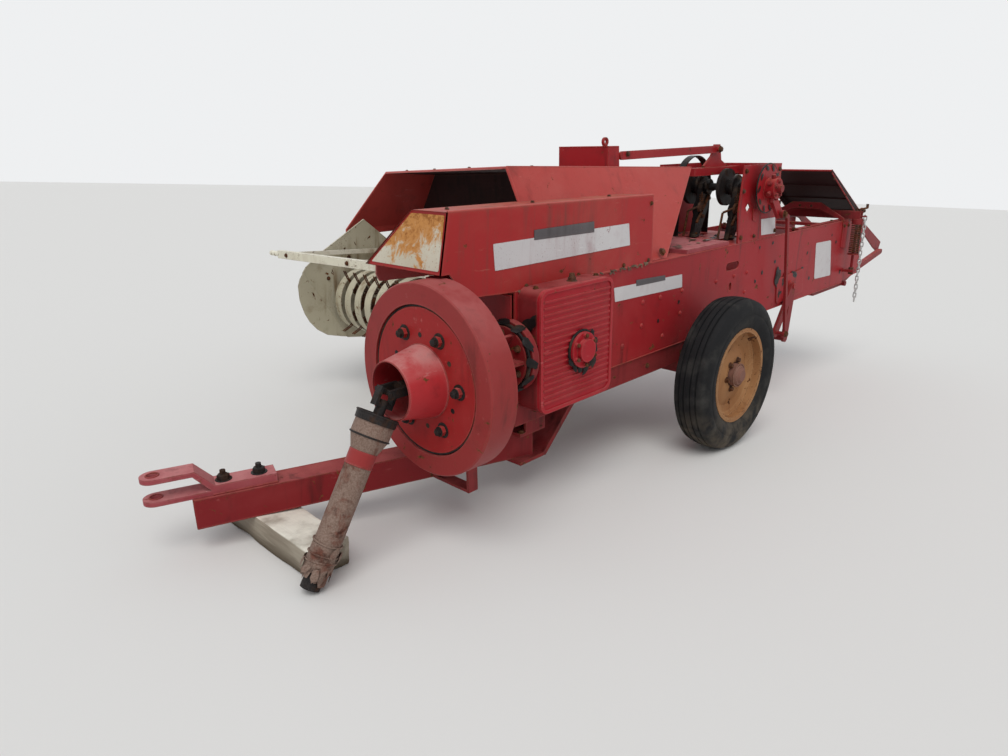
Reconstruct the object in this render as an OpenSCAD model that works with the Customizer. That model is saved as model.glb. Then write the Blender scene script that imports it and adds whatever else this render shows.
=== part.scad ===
/* [Stance] */
// Nose-down angle at which the machine is parked on its timber block, in degrees
park_tilt = 3.5; // [0:0.5:5]
// Angle of the tongue to the machine's long axis in its travel position, in degrees
tongue_swing = 18.8; // [10:0.2:25]

/* [Wheels] */
// Outer radius of a tyre
tyre_r = 350; // [330:5:380]
// Width of a tyre
tyre_w = 170; // [150:5:190]
// Radius of the rim's outer flange
rim_r = 214; // [200:2:225]
// Distance of the axle behind the datum at the gear case's front
axle_y = 1267; // [1200:10:1350]
// Distance of the left tyre's middle outboard of the bale case
left_wheel_x = 185; // [180:5:230]
// Distance of the right tyre's middle from the bale case's left side
right_wheel_x = 2085; // [2060:5:2150]
// Radius of a spindle where the hub turns on it
spindle_r = 20; // [16:1:26]
// Side of the square axle beam
axle_side = 76; // [60:2:80]

/* [Bale case] */
// Inner width of the bale chamber
chamber_w = 457; // [420:1:480]
// Outer height of the bale case
case_h = 402; // [380:2:420]
// Height of the bale case's underside
case_z = 481; // [470:1:500]
// Front end of the bale case
case_front = 60; // [40:5:80]
// Rear end of the bale case
case_rear = 3110; // [3060:2:3200]
// Thickness of the bale case's walls
case_t = 7; // [5:1:10]
// Rear end of the case's closed roof
roof_rear = 2060; // [2000:10:2100]
// Front of the side opening that the hay is fed through
feed_front = 580; // [560:10:620]
// Length of the feed opening
feed_l = 540; // [500:10:560]

/* [Frame] */
// Depth of the two long frame channels under the case
channel_h = 92; // [80:2:100]
// Flange width of a frame channel
channel_w = 45; // [35:1:60]
// Wall of a frame channel
channel_t = 8; // [5:1:10]
// Rear end of the frame channels
channel_rear = 1520; // [1450:10:1560]

/* [Flywheel] */
// Outer radius of the flywheel
fly_r = 311; // [290:1:315]
// Width of the flywheel's rim
fly_w = 109; // [90:1:120]
// Inner radius of the flywheel's rim
fly_bore_r = 243; // [225:1:250]
// Radius of the clutch plate inside the rim
plate_r = 235; // [200:1:240]
// Front face of the flywheel's rim, ahead of the datum
fly_front = 344; // [330:1:360]
// Place of the input shaft beside the bale case's left side
shaft_x = 15; // [5:1:25]
// Height of the input shaft
shaft_z = 662; // [660:1:690]
// Radius of the input shaft
shaft_r = 22; // [18:1:28]
// Radius of the safety bell at its foot
bell_foot_r = 118; // [105:1:125]
// Radius of the safety bell at its mouth
bell_mouth_r = 93; // [80:1:100]
// Length of the safety bell
bell_l = 128; // [110:1:140]

/* [Driveline] */
// Angle of the half shaft below the machine's long axis, in degrees
drive_drop = 58.5; // [54:0.5:62]
// Radius of the shaft's guard tube
guard_r = 41; // [36:1:46]
// Radius of the cup at the guard tube's upper end
cup_r = 60; // [55:1:66]
// Radius of the half shaft's splined end on the ground
tip_r = 30; // [26:1:34]

/* [Tongue] */
// Height of the tongue's underside
tongue_z = 220; // [210:1:235]
// Side of the square tongue beam
tongue_side = 100; // [80:1:102]
// Wall of the tongue beam
tongue_t = 8; // [5:1:10]
// Place of the tongue's pivot inboard of the bale case's left side
pivot_x = 116; // [112:1:125]
// Place of the tongue's pivot behind the datum
pivot_y = 180; // [160:5:220]
// Length of the tongue ahead of its pivot
tongue_l = 1160; // [1100:5:1200]
// Radius of the hitch pin's hole
hitch_r = 16; // [12:0.5:18]
// Width of the hitch straps
strap_w = 76; // [60:1:90]
// Thickness of the hitch straps
strap_t = 16; // [12:1:20]
// Radius of the tongue's pivot pin
pivot_r = 19; // [15:1:22]

/* [Timber block] */
// Length of the weathered timber under the tongue
block_l = 615; // [560:5:640]
// Width of the timber
block_w = 150; // [120:2:170]

/* [Pickup] */
// Left end of the pickup, inboard of the bale case's left side
pickup_left = 540; // [520:5:600]
// Right end of the pickup
pickup_right = 1760; // [1740:5:1780]
// Place of the tined reel's shaft behind the datum
reel_y = 600; // [590:5:630]
// Height of the tined reel's shaft
reel_z = 546; // [536:2:556]
// Radius of the stripper bands
band_r = 172; // [165:1:180]
// Spacing of the stripper bands
band_pitch = 91; // [84:1:96]
// Width of a stripper band
band_w = 54; // [46:1:60]
// Place of the rightmost stripper band inboard of the bale case's left side
band_last = 1700; // [1600:10:1710]
// Radius over the tines' tips
tine_r = 232; // [220:1:240]
// Height of the windguard's bar at its right end
guard_z = 838; // [826:1:850]
// Place of the windguard's bar behind the datum
guard_y = 160; // [150:1:175]
// Left end of the windguard's bar inboard of the bale case's left side
guard_end = 570; // [560:5:590]

/* [Knotters] */
// Front edge of the knotter stand
stand_front = 1639; // [1630:1:1645]
// Rear edge of the knotter stand
stand_rear = 2046; // [2020:2:2056]
// Top of the knotter stand
stand_z = 1250; // [1200:5:1270]
// Place of the knotter shaft behind the datum
knot_y = 1826; // [1810:2:1840]
// Height of the knotter shaft
knot_z = 1137; // [1125:1:1145]
// Place of the left knotter inboard of the chamber's left wall
knot_x = 130; // [120:5:140]
// Radius of a knotter's cam disc
cam_r = 92; // [84:1:98]
// Radius of the crank's disc beside the knotter stand
crank_disc_r = 117; // [105:1:122]

/* [Needles] */
// Place of the needle yoke's pivot behind the datum
yoke_y = 2300; // [2280:5:2320]
// Height of the needle yoke's pivot
yoke_z = 580; // [570:2:590]
// Radius of the yoke's cross tube
yoke_tube_r = 21; // [16:1:25]

/* [Tension rails] */
// Rear tip of the tension rails
rail_tip_y = 3902; // [3880:2:3930]
// Height of the rails' rear tip
rail_tip_z = 658; // [645:1:670]

/* [Bale chute] */
// Length of the folded bale chute
chute_l = 599; // [560:1:610]
// Angle at which the chute leans forward over the case, above level, in degrees
chute_lean = 26.5; // [25:0.5:30]

/* [Clearances] */
// Radial clearance of a turning fit
fit = 0.05; // [0.02:0.01:0.1]
// Gap between two pieces that are seated on each other
seat = 0.3; // [0.2:0.1:0.5]
// Side gap between pieces that turn past each other
side_gap = 6; // [5:1:8]

/* [Hidden] */
$fn = 48;

red = "#a5282c";
worn_red = "#b34a48";
cream = "#d6cdb2";
steel = "#6f6a66";
grease = "#26211f";
black = "#1d1c1b";
rust = "#a8743a";
timber = "#9b8a76";
big = 4000;

// Widths and heights of the bale case
case_out_w = chamber_w + 2 * case_t;
case_mid_x = -case_out_w / 2;
case_top = case_z + case_h;
wheel_z = tyre_r;
// The two extreme corners fore and aft, turned to the parked stance, put the origin below the middle
function ground_y(y, z) = axle_y + (y - axle_y) * cos(park_tilt) - (z - wheel_z) * sin(park_tilt);
function ground_z(y, z) = wheel_z + (y - axle_y) * sin(park_tilt) + (z - wheel_z) * cos(park_tilt);
strap_reach = 100;
strap_gap = 58;
strap_low_z = tongue_z + tongue_side + seat;
hitch_l = tongue_l + strap_reach;
hitch_x = -pivot_x - hitch_l * sin(tongue_swing);
hitch_y = pivot_y - hitch_l * cos(tongue_swing);
front_y = ground_y(hitch_y - strap_w / 2, strap_low_z + 2 * strap_t + strap_gap);
rail_nose_r = 12;
rear_y = ground_y(rail_tip_y, rail_tip_z);
origin_x = (left_wheel_x + tyre_w / 2 - right_wheel_x - tyre_w / 2) / 2;
origin_y = (front_y + rear_y) / 2;

// Turns level machine coordinates into the parked stance about the axle
module parked() {
    translate([-origin_x, axle_y - origin_y, wheel_z])
        rotate([park_tilt, 0, 0])
            translate([0, -axle_y, -wheel_z])
                children();
}

// A profile in the Y-Z plane made a plate from x0 to x1
module side_plate(x0, x1) {
    translate([x0, 0, 0])
        rotate([90, 0, 90])
            linear_extrude(height = x1 - x0)
                children();
}

// A cylinder along X from x0 to x1 at a place in the Y-Z plane
module bar_x(x0, x1, y, z, r) {
    translate([x0, y, z])
        rotate([0, 90, 0])
            cylinder(h = x1 - x0, r = r);
}

// A cylinder along Y from y0 to y1
module bar_y(y0, y1, x, z, r) {
    translate([x, y0, z])
        rotate([-90, 0, 0])
            cylinder(h = y1 - y0, r = r);
}

// A box given by its two corners
module block(a, b) {
    translate(a)
        cube(b - a);
}

// A flat bar of a given width between two points of the Y-Z plane, with round ends
module link_2d(p, q, r) {
    l = norm(q - p);
    translate(p)
        rotate(atan2(q[1] - p[1], q[0] - p[0]))
            union() {
                translate([0, -r]) square([l, 2 * r]);
                circle(r);
                translate([l, 0]) circle(r);
            }
}

// A round rod between two points of space
module rod(p, q, r) {
    v = q - p;
    l = norm(v);
    translate(p)
        rotate([0, acos(v[2] / l), atan2(v[1], v[0])])
            cylinder(h = l, r = r);
}

slot_w = 40;
floor_slot = [1560, 2100];
roof_slot = [1640, 1920];

module bale_case() {
    color(red) parked() {
        difference() {
            block([-case_out_w, case_front, case_z], [0, case_rear, case_top]);
            block([-case_out_w + case_t, case_front - big, case_z + case_t],
                  [-case_t, case_rear + big, case_top - case_t]);
            block([-case_out_w + case_t, roof_rear, case_top - 2 * case_t], [-case_t, case_rear + 1, case_top + 1]);
            block([-case_out_w - 1, feed_front, case_z + 2 * case_t],
                  [-case_out_w + case_t + 1, feed_front + feed_l, case_top - 2 * case_t]);
            for (x = needle_x) {
                block([x - slot_w / 2, floor_slot[0], case_z - 1], [x + slot_w / 2, floor_slot[1], case_z + case_t + 1]);
                block([x - slot_w / 2, roof_slot[0], case_top - case_t - 1],
                      [x + slot_w / 2, roof_slot[1], case_top + 1]);
            }
            // Two hand slots in the left side
            side_plate(-case_t - 1, 1) {
                link_2d([1560, 778], [1650, 778], 19);
                link_2d([1596, 668], [1596, 686], 12);
            }
        }
        // Stub axles of the needle yoke on both sides
        bar_x(-1, yoke_gap - seat, yoke_y, yoke_z, 30);
        bar_x(-1, yoke_gap + yoke_t + 6, yoke_y, yoke_z, yoke_pin_r);
        bar_x(-case_out_w - yoke_gap + seat, -case_out_w + 1, yoke_y, yoke_z, 30);
        bar_x(-case_out_w - yoke_gap - yoke_t - 6, -case_out_w + 1, yoke_y, yoke_z, yoke_pin_r);
    }
}

yoke_gap = 12;
yoke_t = 16;
yoke_pin_r = 16;
needle_t = 16;
needle_x = [-case_t - knot_x, -case_out_w + case_t + knot_x];
channel_x = [-channel_w - 6, -case_out_w + 6];

ear_t = 14;
guide_x = [-300, -44];
guide_y = -140;

module main_frame() {
    z0 = case_z - seat - channel_h;
    color(red) parked() {
        for (x = channel_x)
            difference() {
                block([x, case_front, z0], [x + channel_w, channel_rear, case_z - seat]);
                block([x == channel_x[0] ? x - 1 : x + channel_t, case_front - 1, z0 + channel_t],
                      [x == channel_x[0] ? x + channel_w - channel_t : x + channel_w + 1,
                       channel_rear + 1, case_z - seat - channel_t]);
            }
        // Cross plates tie the two channels
        for (y = [case_front, pivot_y + 272, 620, channel_rear - 60])
            block([channel_x[1] + channel_w - 1, y, z0 + channel_t], [channel_x[0] + 1, y + 12, case_z - 14]);
        // Two ears carry the tongue's pivot pin
        for (z = [tongue_z + tongue_side + seat, tongue_z - seat - ear_t])
            block([-pivot_x - 80, pivot_y - 60, z], [-pivot_x + 80, pivot_y + 78, z + ear_t]);
        translate([-pivot_x, pivot_y, tongue_z - seat - ear_t - 12])
            cylinder(h = tongue_side + 2 * ear_t + 30, r = pivot_r);
        // Cheeks and a deck plate between the upper ear and the channels
        for (x = [-pivot_x - 80, -pivot_x + 70])
            block([x, pivot_y - 30, tongue_z + tongue_side + seat + ear_t - 1], [x + 10, pivot_y + 78, z0 + 1]);
        block([channel_x[1] + channel_w - 1, pivot_y - 30, z0], [channel_x[0] + 1, pivot_y + 78, z0 + 8]);
        // The wide brace plate from the lower ear up to a cross plate
        side_plate(-pivot_x - 80, -pivot_x + 80)
            polygon([[pivot_y + 72, tongue_z - seat - ear_t], [pivot_y + 84, tongue_z - seat - ear_t],
                     [pivot_y + 284, z0 + 10], [pivot_y + 284, z0 + 30], [pivot_y + 272, z0 + 30],
                     [pivot_y + 72, tongue_z - seat - 1]]);
        // The guide strap that the tongue swings in hangs on two arms
        block([guide_x[0], guide_y, tongue_z - 34], [guide_x[1], guide_y + 45, tongue_z - 22]);
        for (x = [guide_x[0], guide_x[1] - 10])
            side_plate(x, x + 10)
                polygon([[guide_y, tongue_z - 34], [guide_y + 45, tongue_z - 34], [guide_y + 45, tongue_z + 120],
                         [case_front + 6, z0 + 12], [case_front + 6, case_z - 20], [guide_y, tongue_z + 150]]);
        // The tube on which the pickup swings, with a stay to the axle at its right end
        bar_x(-pickup_right - 14, -case_out_w + 20, pickup_pivot[0], pickup_pivot[1], pivot_tube_r);
        side_plate(-pickup_right - 20, -pickup_right - 10)
            polygon([[pickup_pivot[0] - 24, pickup_pivot[1] - 20], [pickup_pivot[0] - 24, pickup_pivot[1] + 30],
                     [axle_y + 30, wheel_z + axle_side / 2 + 20], [axle_y + 30, wheel_z + axle_side / 2 - 1]]);
        // Axle saddles
        for (x = channel_x)
            block([x, axle_y - 60, wheel_z + axle_side / 2 - 1], [x + channel_w, axle_y + 60, z0 + 1]);
    }
}

hub_l = 120;
hub_r = 52;
hub_end = 14;
hub_flange_r = 82;
disc_z = 28;

module axle_beam() {
    inner_left = left_wheel_x - tyre_w / 2 - 2;
    inner_right = right_wheel_x - tyre_w / 2 - 2;
    color(red) parked() difference() {
        union() {
            block([-inner_right, axle_y - axle_side / 2, wheel_z - axle_side / 2],
                  [inner_left, axle_y + axle_side / 2, wheel_z + axle_side / 2 - 1 - seat]);
            bar_x(inner_left - 1, left_wheel_x + hub_l / 2 - hub_end - 2, axle_y, wheel_z, spindle_r);
            bar_x(-right_wheel_x - hub_l / 2 + hub_end + 2, -inner_right + 1, axle_y, wheel_z, spindle_r);
        }
    }
}

gear_l = 404;
gear_z = [456, 896];
gear_out = 88;
gear_front = 74;
gear_round = 38;
neck_r = 128;
neck_bore_r = 62;

module gear_case() {
    color(red) parked() difference() {
        union() {
            side_plate(seat, gear_out)
                rounded([gear_front, gear_z[0]], [gear_front + gear_l, gear_z[1]], gear_round);
            // The neck that carries the input housing is cut back where the case and the cover are
            bar_y(30, case_front - seat, -shaft_x, shaft_z, neck_r);
            intersection() {
                bar_y(case_front - 2, gear_front + 6, -shaft_x, shaft_z, neck_r - 28);
                block([seat, 0, shaft_z - neck_r], [gear_out, big, shaft_z + neck_r]);
            }
        }
        bar_y(29, gear_front + 60, -shaft_x, shaft_z, neck_bore_r);
    }
}

// A rectangle with round corners, given by two corners
module rounded(a, b, r) {
    union() {
        translate(a + [r, 0]) square([b[0] - a[0] - 2 * r, b[1] - a[1]]);
        translate(a + [0, r]) square([b[0] - a[0], b[1] - a[1] - 2 * r]);
        for (y = [a[0] + r, b[0] - r], z = [a[1] + r, b[1] - r])
            translate([y, z]) circle(r);
    }
}

cover_t = 14;
rib_n = 17;
rib_h = 5;
cap_y = 292;
cap_z = 655;

module gear_cover() {
    x0 = gear_out + seat;
    color(red) parked() {
        side_plate(x0, x0 + cover_t)
            rounded([gear_front, gear_z[0]], [gear_front + gear_l, gear_z[1]], gear_round);
        pitch = (gear_z[1] - gear_z[0] - 80) / (rib_n - 1);
        for (i = [0 : rib_n - 1])
            block([x0 + cover_t - 1, gear_front + 18, gear_z[0] + 37 + i * pitch],
                  [x0 + cover_t + rib_h, gear_front + gear_l - 18, gear_z[0] + 43 + i * pitch]);
    }
}

module bearing_cap() {
    x0 = gear_out + seat + cover_t + rib_h + seat;
    color(red) parked() {
        bar_x(x0, x0 + 16, cap_y, cap_z, 66);
        bar_x(x0 + 15, x0 + 34, cap_y, cap_z, 42);
        for (a = [30 : 60 : 330])
            bar_x(x0 + 15, x0 + 24, cap_y + 54 * cos(a), cap_z + 54 * sin(a), 8);
    }
}

module input_housing() {
    color(red) parked() difference() {
        union() {
            bar_y(10, 29.7, -shaft_x, shaft_z, 112);
            bar_y(-150, 11, -shaft_x, shaft_z, 52);
            for (a = [0 : 60 : 300])
                translate([-shaft_x, 0, shaft_z]) rotate([0, a, 0]) block([40, -130, -5], [104, 11, 5]);
            bar_y(-150, -132, -shaft_x, shaft_z, 84);
        }
        bar_y(-151, 60, -shaft_x, shaft_z, shaft_r + fit);
    }
}

// The drive hood is a folded sheet: a left side, a narrow top, a far side that slopes out, front and rear
hood_t = 5;
hood_top_w = 172;
hood_w = 500;
hood_side = [[-224, 1169], [-262, 982], [-228, 982], [-190, 930], [-150, 896], [case_front, case_top + seat],
             [890, case_top + seat], [880, 1157]];
hood_core = [[-219, 1163], [-256, 960], [-150, 840], [885, 840], [875, 1151]];
hood_slope = (hood_w - hood_top_w) / 290;

module hood_section(t) {
    rotate([90, 0, 0]) mirror([0, 0, 1]) translate([0, 0, -400]) linear_extrude(height = 1400)
        polygon([[-t, 800], [-hood_w - 80 * hood_slope + t, 800], [-hood_top_w + t, 1170 - t], [-t, 1170 - t]]);
}

module drive_hood() {
    color(red) parked() difference() {
        intersection() {
            side_plate(-hood_w - 80, 0) polygon(hood_side);
            hood_section(0);
        }
        intersection() {
            side_plate(-hood_w - 80, 0) polygon(hood_core);
            hood_section(hood_t);
        }
        feeder_shell(-1, case_top - 1, -1);
    }
}

// The feeder hood is a shell on flat faces; each corner is given at its outer side
fh_t = 6;
fh_foot_x = -20;
fh_foot_rear = 1036;
fh_near_front = [-220, 254, 1284];
fh_near_rear = [-220, 1537, 1242];
fh_far_front = [-1700, 811, 1226];
fh_far_rear = [-1700, 1166, 1207];
fh_side_x = -1850;
fh_side_z = 918;
fh_front_y = 619;
fh_rear_y = 1150;

// Height of the hood's roof at a place, on the plane of its three highest corners
function roof_z(x, y) = fh_near_front[2]
    + (y - fh_near_front[1]) * (fh_near_rear[2] - fh_near_front[2]) / (fh_near_rear[1] - fh_near_front[1])
    + (x - fh_near_front[0]) * roof_fall;
roof_fall = (fh_far_front[2] - fh_near_front[2]
             - (fh_far_front[1] - fh_near_front[1]) * (fh_near_rear[2] - fh_near_front[2])
               / (fh_near_rear[1] - fh_near_front[1])) / (fh_far_front[0] - fh_near_front[0]);

// The shell's ten corners, moved in by a wall t, with their own lower edge and front inset
function shell_corners(t, low, front) = [
    fh_near_front + [-t, front, -t], fh_near_rear + [-t, -t, -t],
    fh_far_front + [t, front, -t], fh_far_rear + [t, -t, -t],
    [fh_side_x + t, fh_front_y + front, fh_side_z], [fh_side_x + t, fh_rear_y - t, fh_side_z],
    [fh_side_x + t, fh_front_y + front, low], [fh_side_x + t, fh_rear_y - t, low],
    [fh_foot_x - t, fh_near_front[1] + front, low], [fh_foot_x - t, fh_foot_rear - t, low]];

module feeder_shell(t, low, front) {
    hull() polyhedron(shell_corners(t, low, front), [[0, 1, 2], [3, 4, 5], [6, 7, 8], [9, 0, 3]]);
}

module feeder_hood() {
    color(red) parked() difference() {
        feeder_shell(0, case_top + seat + 0.25, 0);
        // The front is open, so the inner form runs out past it
        feeder_shell(fh_t, case_top - 20, -60);
    }
}

deck_t = 8;
deck_front = [1012, 560];
deck_rear = [1140, 545];

module feeder_deck() {
    color(red) parked() {
        // Floor pan and rear wall of the feeder beside the case
        side_plate(fh_side_x, -case_out_w - seat)
            polygon([deck_front, deck_rear, [deck_rear[0], case_top - 4], [deck_rear[0] - deck_t, case_top - 4],
                     [deck_rear[0] - deck_t, deck_rear[1] + deck_t + 2], deck_front + [2, deck_t]]);
        // End wall
        side_plate(fh_side_x, fh_side_x + deck_t)
            polygon([deck_front, deck_rear, [deck_rear[0], case_top - 4], [deck_front[0], case_top - 4]]);
    }
}

// A cover over the feeder's drive stands across the hood's top
box_x = [-512, -240];
box_y = [890, 965];
box_h = 84;
box_sink = 20;
box_top = roof_z(box_x[1], box_y[0]) + box_h;
box_foot = roof_z(box_x[0], box_y[1]) - box_sink;
ring_r = 18;
ring_z = box_top + ring_r + 1;

module feeder_box() {
    color(red) parked() {
        difference() {
            side_plate(box_x[0], box_x[1])
                polygon([[box_y[0], box_foot], [box_y[1] + 8, box_foot], [box_y[1], box_top], [box_y[0], box_top]]);
            translate([0, 0, seat]) feeder_shell(0, case_top + seat + 0.25, 0);
        }
        // The lifting ring on the cover's corner
        side_plate(box_x[1] - 24, box_x[1] - 14) difference() {
            union() {
                translate([box_y[0], ring_z]) circle(ring_r);
                translate([box_y[0] - 12, box_top - 1]) square([24, 12]);
            }
            translate([box_y[0], ring_z]) circle(ring_r / 2);
        }
    }
}

bar_pivot = [1804, 1322];
bar_mid_x = -240;
bar_t = 12;
bar_half_h = 18;
bar_drop = 39;

module lever_bar() {
    color(red) parked() side_plate(bar_mid_x - bar_t / 2, bar_mid_x + bar_t / 2) difference() {
        link_2d([box_y[1] + bar_half_h + 5, box_top - bar_drop], bar_pivot, bar_half_h);
        translate(bar_pivot) circle(10 + fit);
    }
}

rail_top_z = 1236;
rail_side = 38;
rail_front = 1572;

module lever_stand() {
    x1 = bar_mid_x - bar_t / 2 - seat;
    color(red) parked() {
        side_plate(x1 - 12, x1)
            polygon([[1690, rail_top_z + seat], [1950, rail_top_z + seat], [1872, 1268], [1850, 1346], [1800, 1346],
                     [1770, 1290]]);
        bar_x(x1 - 1, bar_mid_x + 18, bar_pivot[0], bar_pivot[1], 10);
    }
}

shaft2_r = 18;
stand_t = 8;
stand_plate = [[stand_front, case_top + seat], [stand_rear, case_top + seat], [stand_rear, stand_z],
               [stand_front + 10, stand_z], [stand_front - 17, 1039]];
hatch = [1714, 1050];
hatch_side = 37;

module knotter_stand() {
    color(red) parked() {
        difference() {
            side_plate(-stand_t, 0) polygon(stand_plate);
            bar_x(-stand_t - 1, 1, knot_y, knot_z, shaft2_r + fit);
            translate([0, hatch[0], hatch[1]]) rotate([45, 0, 0])
                cube([4 * stand_t, hatch_side, hatch_side], center = true);
        }
        difference() {
            side_plate(-case_out_w, -case_out_w + stand_t) polygon(stand_plate);
            bar_x(-case_out_w - 1, -case_out_w + stand_t + 1, knot_y, knot_z, shaft2_r + fit);
        }
        block([-case_out_w + stand_t - 1, stand_rear - 16, stand_z - 60], [-stand_t + 1, stand_rear, stand_z]);
    }
}

module knotter_rail() {
    color(red) parked()
        block([bar_mid_x - rail_side / 2, rail_front, rail_top_z - rail_side],
              [bar_mid_x + rail_side / 2, stand_rear - 16 - seat, rail_top_z]);
}

cam_t = 20;
cam_in = 55;

module knotter_shaft() {
    color(steel) parked() {
        bar_x(-case_out_w - 6, 30, knot_y, knot_z, shaft2_r);
        for (x = needle_x)
            bar_x(x - cam_in, x - cam_in + cam_t, knot_y, knot_z, cam_r, $fn = 96);
    }
}

hood_arc_r = 150;
hood_arc_t = 5;

module knotters() {
    color(grease) parked() {
        for (x = needle_x) difference() {
            union() {
                bar_x(x - cam_in + cam_t + side_gap, x + 60, knot_y, knot_z, 38);
                bar_x(x + 6, x + 18, knot_y, knot_z, 62);
                // Frame that hangs from the shaft and stands on the case's roof
                side_plate(x + 20, x + 44)
                    polygon([[knot_y - 112, case_top + seat], [knot_y - 50, case_top + seat],
                             [knot_y + 20, knot_z - 110], [knot_y + 52, knot_z - 10], [knot_y + 4, knot_z + 46],
                             [knot_y - 48, knot_z + 16]]);
                // Twine disc and bill hook under the shaft, beside the needle's way
                bar_x(x + needle_t / 2 + side_gap, x + 21, knot_y - 44, knot_z - 112, 40);
                rod([x + 30, knot_y - 50, knot_z - 140], [x + 24, knot_y - 84, knot_z - 164], 10);
                rod([x + 24, knot_y - 82, knot_z - 162], [x + 22, knot_y - 46, knot_z - 204], 7);
            }
            bar_x(x - 61, x + 61, knot_y, knot_z, shaft2_r + fit);
        }
        // Bent guard over the far knotter
        side_plate(needle_x[1] - 60, needle_x[1] - 22) difference() {
            guard_2d(hood_arc_r + hood_arc_t, case_top + seat);
            guard_2d(hood_arc_r, case_top);
        }
    }
}

// An arc over the knotter shaft on two straight legs
module guard_2d(r, foot) {
    circle_at(knot_y, knot_z, r);
    translate([knot_y - r, foot]) square([2 * r, knot_z - foot]);
}

guides_y = [1180, 1560];

module hay_guides() {
    color(red) parked()
        block([-case_out_w, guides_y[0], case_top + seat], [-fh_t, guides_y[1], case_top + 20]);
}

// Tension rails: two bars above and two below, each with a level run and a run that slopes to the tip
rail_w = 40;
rail_in = 14;
rail_x = [-rail_w - rail_in, -case_out_w + rail_in];
rail_front_y = 2350;
rail_kink = 3250;
top_rail_z = case_top - 9;
low_rail_z = case_z - seat - rail_nose_r;
low_front_y = 2700;
low_kink = [3150, low_rail_z];
low_bend = [3345, 524];
low_tip = [rail_tip_y - 52, rail_tip_z - 58];
fin_t = 10;
beam_y = case_rear;
beam_w = 44;
beam_h = 49;
beam_z = top_rail_z + rail_nose_r + seat;
rod_r = 8;
rod_out = 46;
beam_end = rod_out + 20;
spring_r = 31;
spring_wire_r = 4;
spring_turns = 15;
spring_foot_z = 675;
spring_head_z = 856;
lug_z = 556;
lug_h = 16;

module tension_rails_top() {
    color(red) parked() {
        for (x = rail_x)
            side_plate(x, x + rail_w)
                link_2d([rail_front_y, top_rail_z], [rail_kink, top_rail_z], rail_nose_r);
        // Deep fins carry the rails down to their rear tips
        for (x = [rail_x[0], rail_x[1] + rail_w - fin_t])
            side_plate(x, x + fin_t)
                polygon([[rail_kink - 20, top_rail_z - rail_nose_r], [rail_kink - 20, top_rail_z + rail_nose_r],
                         [rail_kink + 50, top_rail_z + 26], [rail_kink + 136, top_rail_z + 4],
                         [rail_tip_y, rail_tip_z], [rail_tip_y - 37, rail_tip_z - 68],
                         [rail_tip_y - 137, rail_tip_z - 26], [rail_kink + 182, top_rail_z - 68],
                         [rail_kink + 110, top_rail_z - 28], [rail_kink + 50, top_rail_z - rail_nose_r]]);
        // Cross plates; the front one lies on the case's walls
        block([-case_out_w, rail_front_y - 8, case_top + seat], [0, rail_front_y + 30, case_top + 10]);
        block([rail_x[1] + rail_w - 1, 2750, top_rail_z - 7], [rail_x[0] + 1, 2788, top_rail_z + 11]);
        for (x = rail_x)
            block([x, rail_front_y - 8, top_rail_z], [x + rail_w, rail_front_y + 30, case_top + 1]);
    }
}

module tension_rails_bottom() {
    color(red) parked() {
        // Narrower than the upper ones, so that they end beside the fins
        for (x = [rail_x[0] + fin_t + seat, rail_x[1]])
            side_plate(x, x + rail_w - fin_t - seat) {
                link_2d([low_front_y, low_rail_z], low_kink, rail_nose_r);
                link_2d(low_kink, low_bend, rail_nose_r);
                link_2d(low_bend, low_tip, rail_nose_r + 4);
            }
        block([rail_x[1] + rail_w - fin_t - seat - 1, low_front_y, low_rail_z - 10],
              [rail_x[0] + fin_t + seat + 1, low_front_y + 40, low_rail_z + 10]);
        // Tube across under the case's end
        bar_x(-case_out_w - 6, 6, low_kink[0] + 15, low_rail_z, 16);
    }
}

// Side plates carry on from the case's walls to the bend of the rails
tail_t = 5;
tail_lap = 60;
tail_end = 3388;

module tail_plates() {
    color(red) parked()
        for (x = [-case_t - seat - tail_t, -case_out_w + case_t + seat])
            side_plate(x, x + tail_t)
                polygon([[case_rear - tail_lap, case_z + case_t + seat], [case_rear, case_z + case_t + seat],
                         [tail_end - 50, case_z + 26], [tail_end - 3, case_z + 27], [tail_end, case_top - 18],
                         [case_rear - tail_lap, case_top - 12]]);
}

module tension_beams() {
    color(red) parked() {
        difference() {
            block([-case_out_w - beam_end, beam_y - beam_w / 2, beam_z], [beam_end, beam_y + beam_w / 2, beam_z + beam_h]);
            block([-case_out_w - beam_end - 1, beam_y - beam_w / 2 + 6, beam_z + 6],
                  [beam_end + 1, beam_y + beam_w / 2 - 6, beam_z + beam_h + 1]);
        }
        for (x = [rod_out, -case_out_w - rod_out]) {
            translate([x, beam_y, lug_z - 14]) cylinder(h = beam_z + beam_h + 12 - lug_z, r = rod_r);
            translate([x, beam_y, spring_foot_z - 8]) cylinder(h = 8 - seat, r = spring_r + 2);
            translate([x, beam_y, spring_head_z + seat]) cylinder(h = beam_z + 1 - spring_head_z, r = spring_r + 1);
        }
        // Brackets on the case's sides hold the rods' feet
        for (x = [seat, -case_out_w - beam_end])
            block([x, beam_y - beam_w / 2, lug_z], [x + beam_end - seat, beam_y + beam_w / 2, lug_z + lug_h]);
        // Peg that the chain hangs on
        bar_x(beam_end - 1, chain_x + 9, beam_y, chain_peg_z, chain_peg_r);
    }
}

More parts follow.
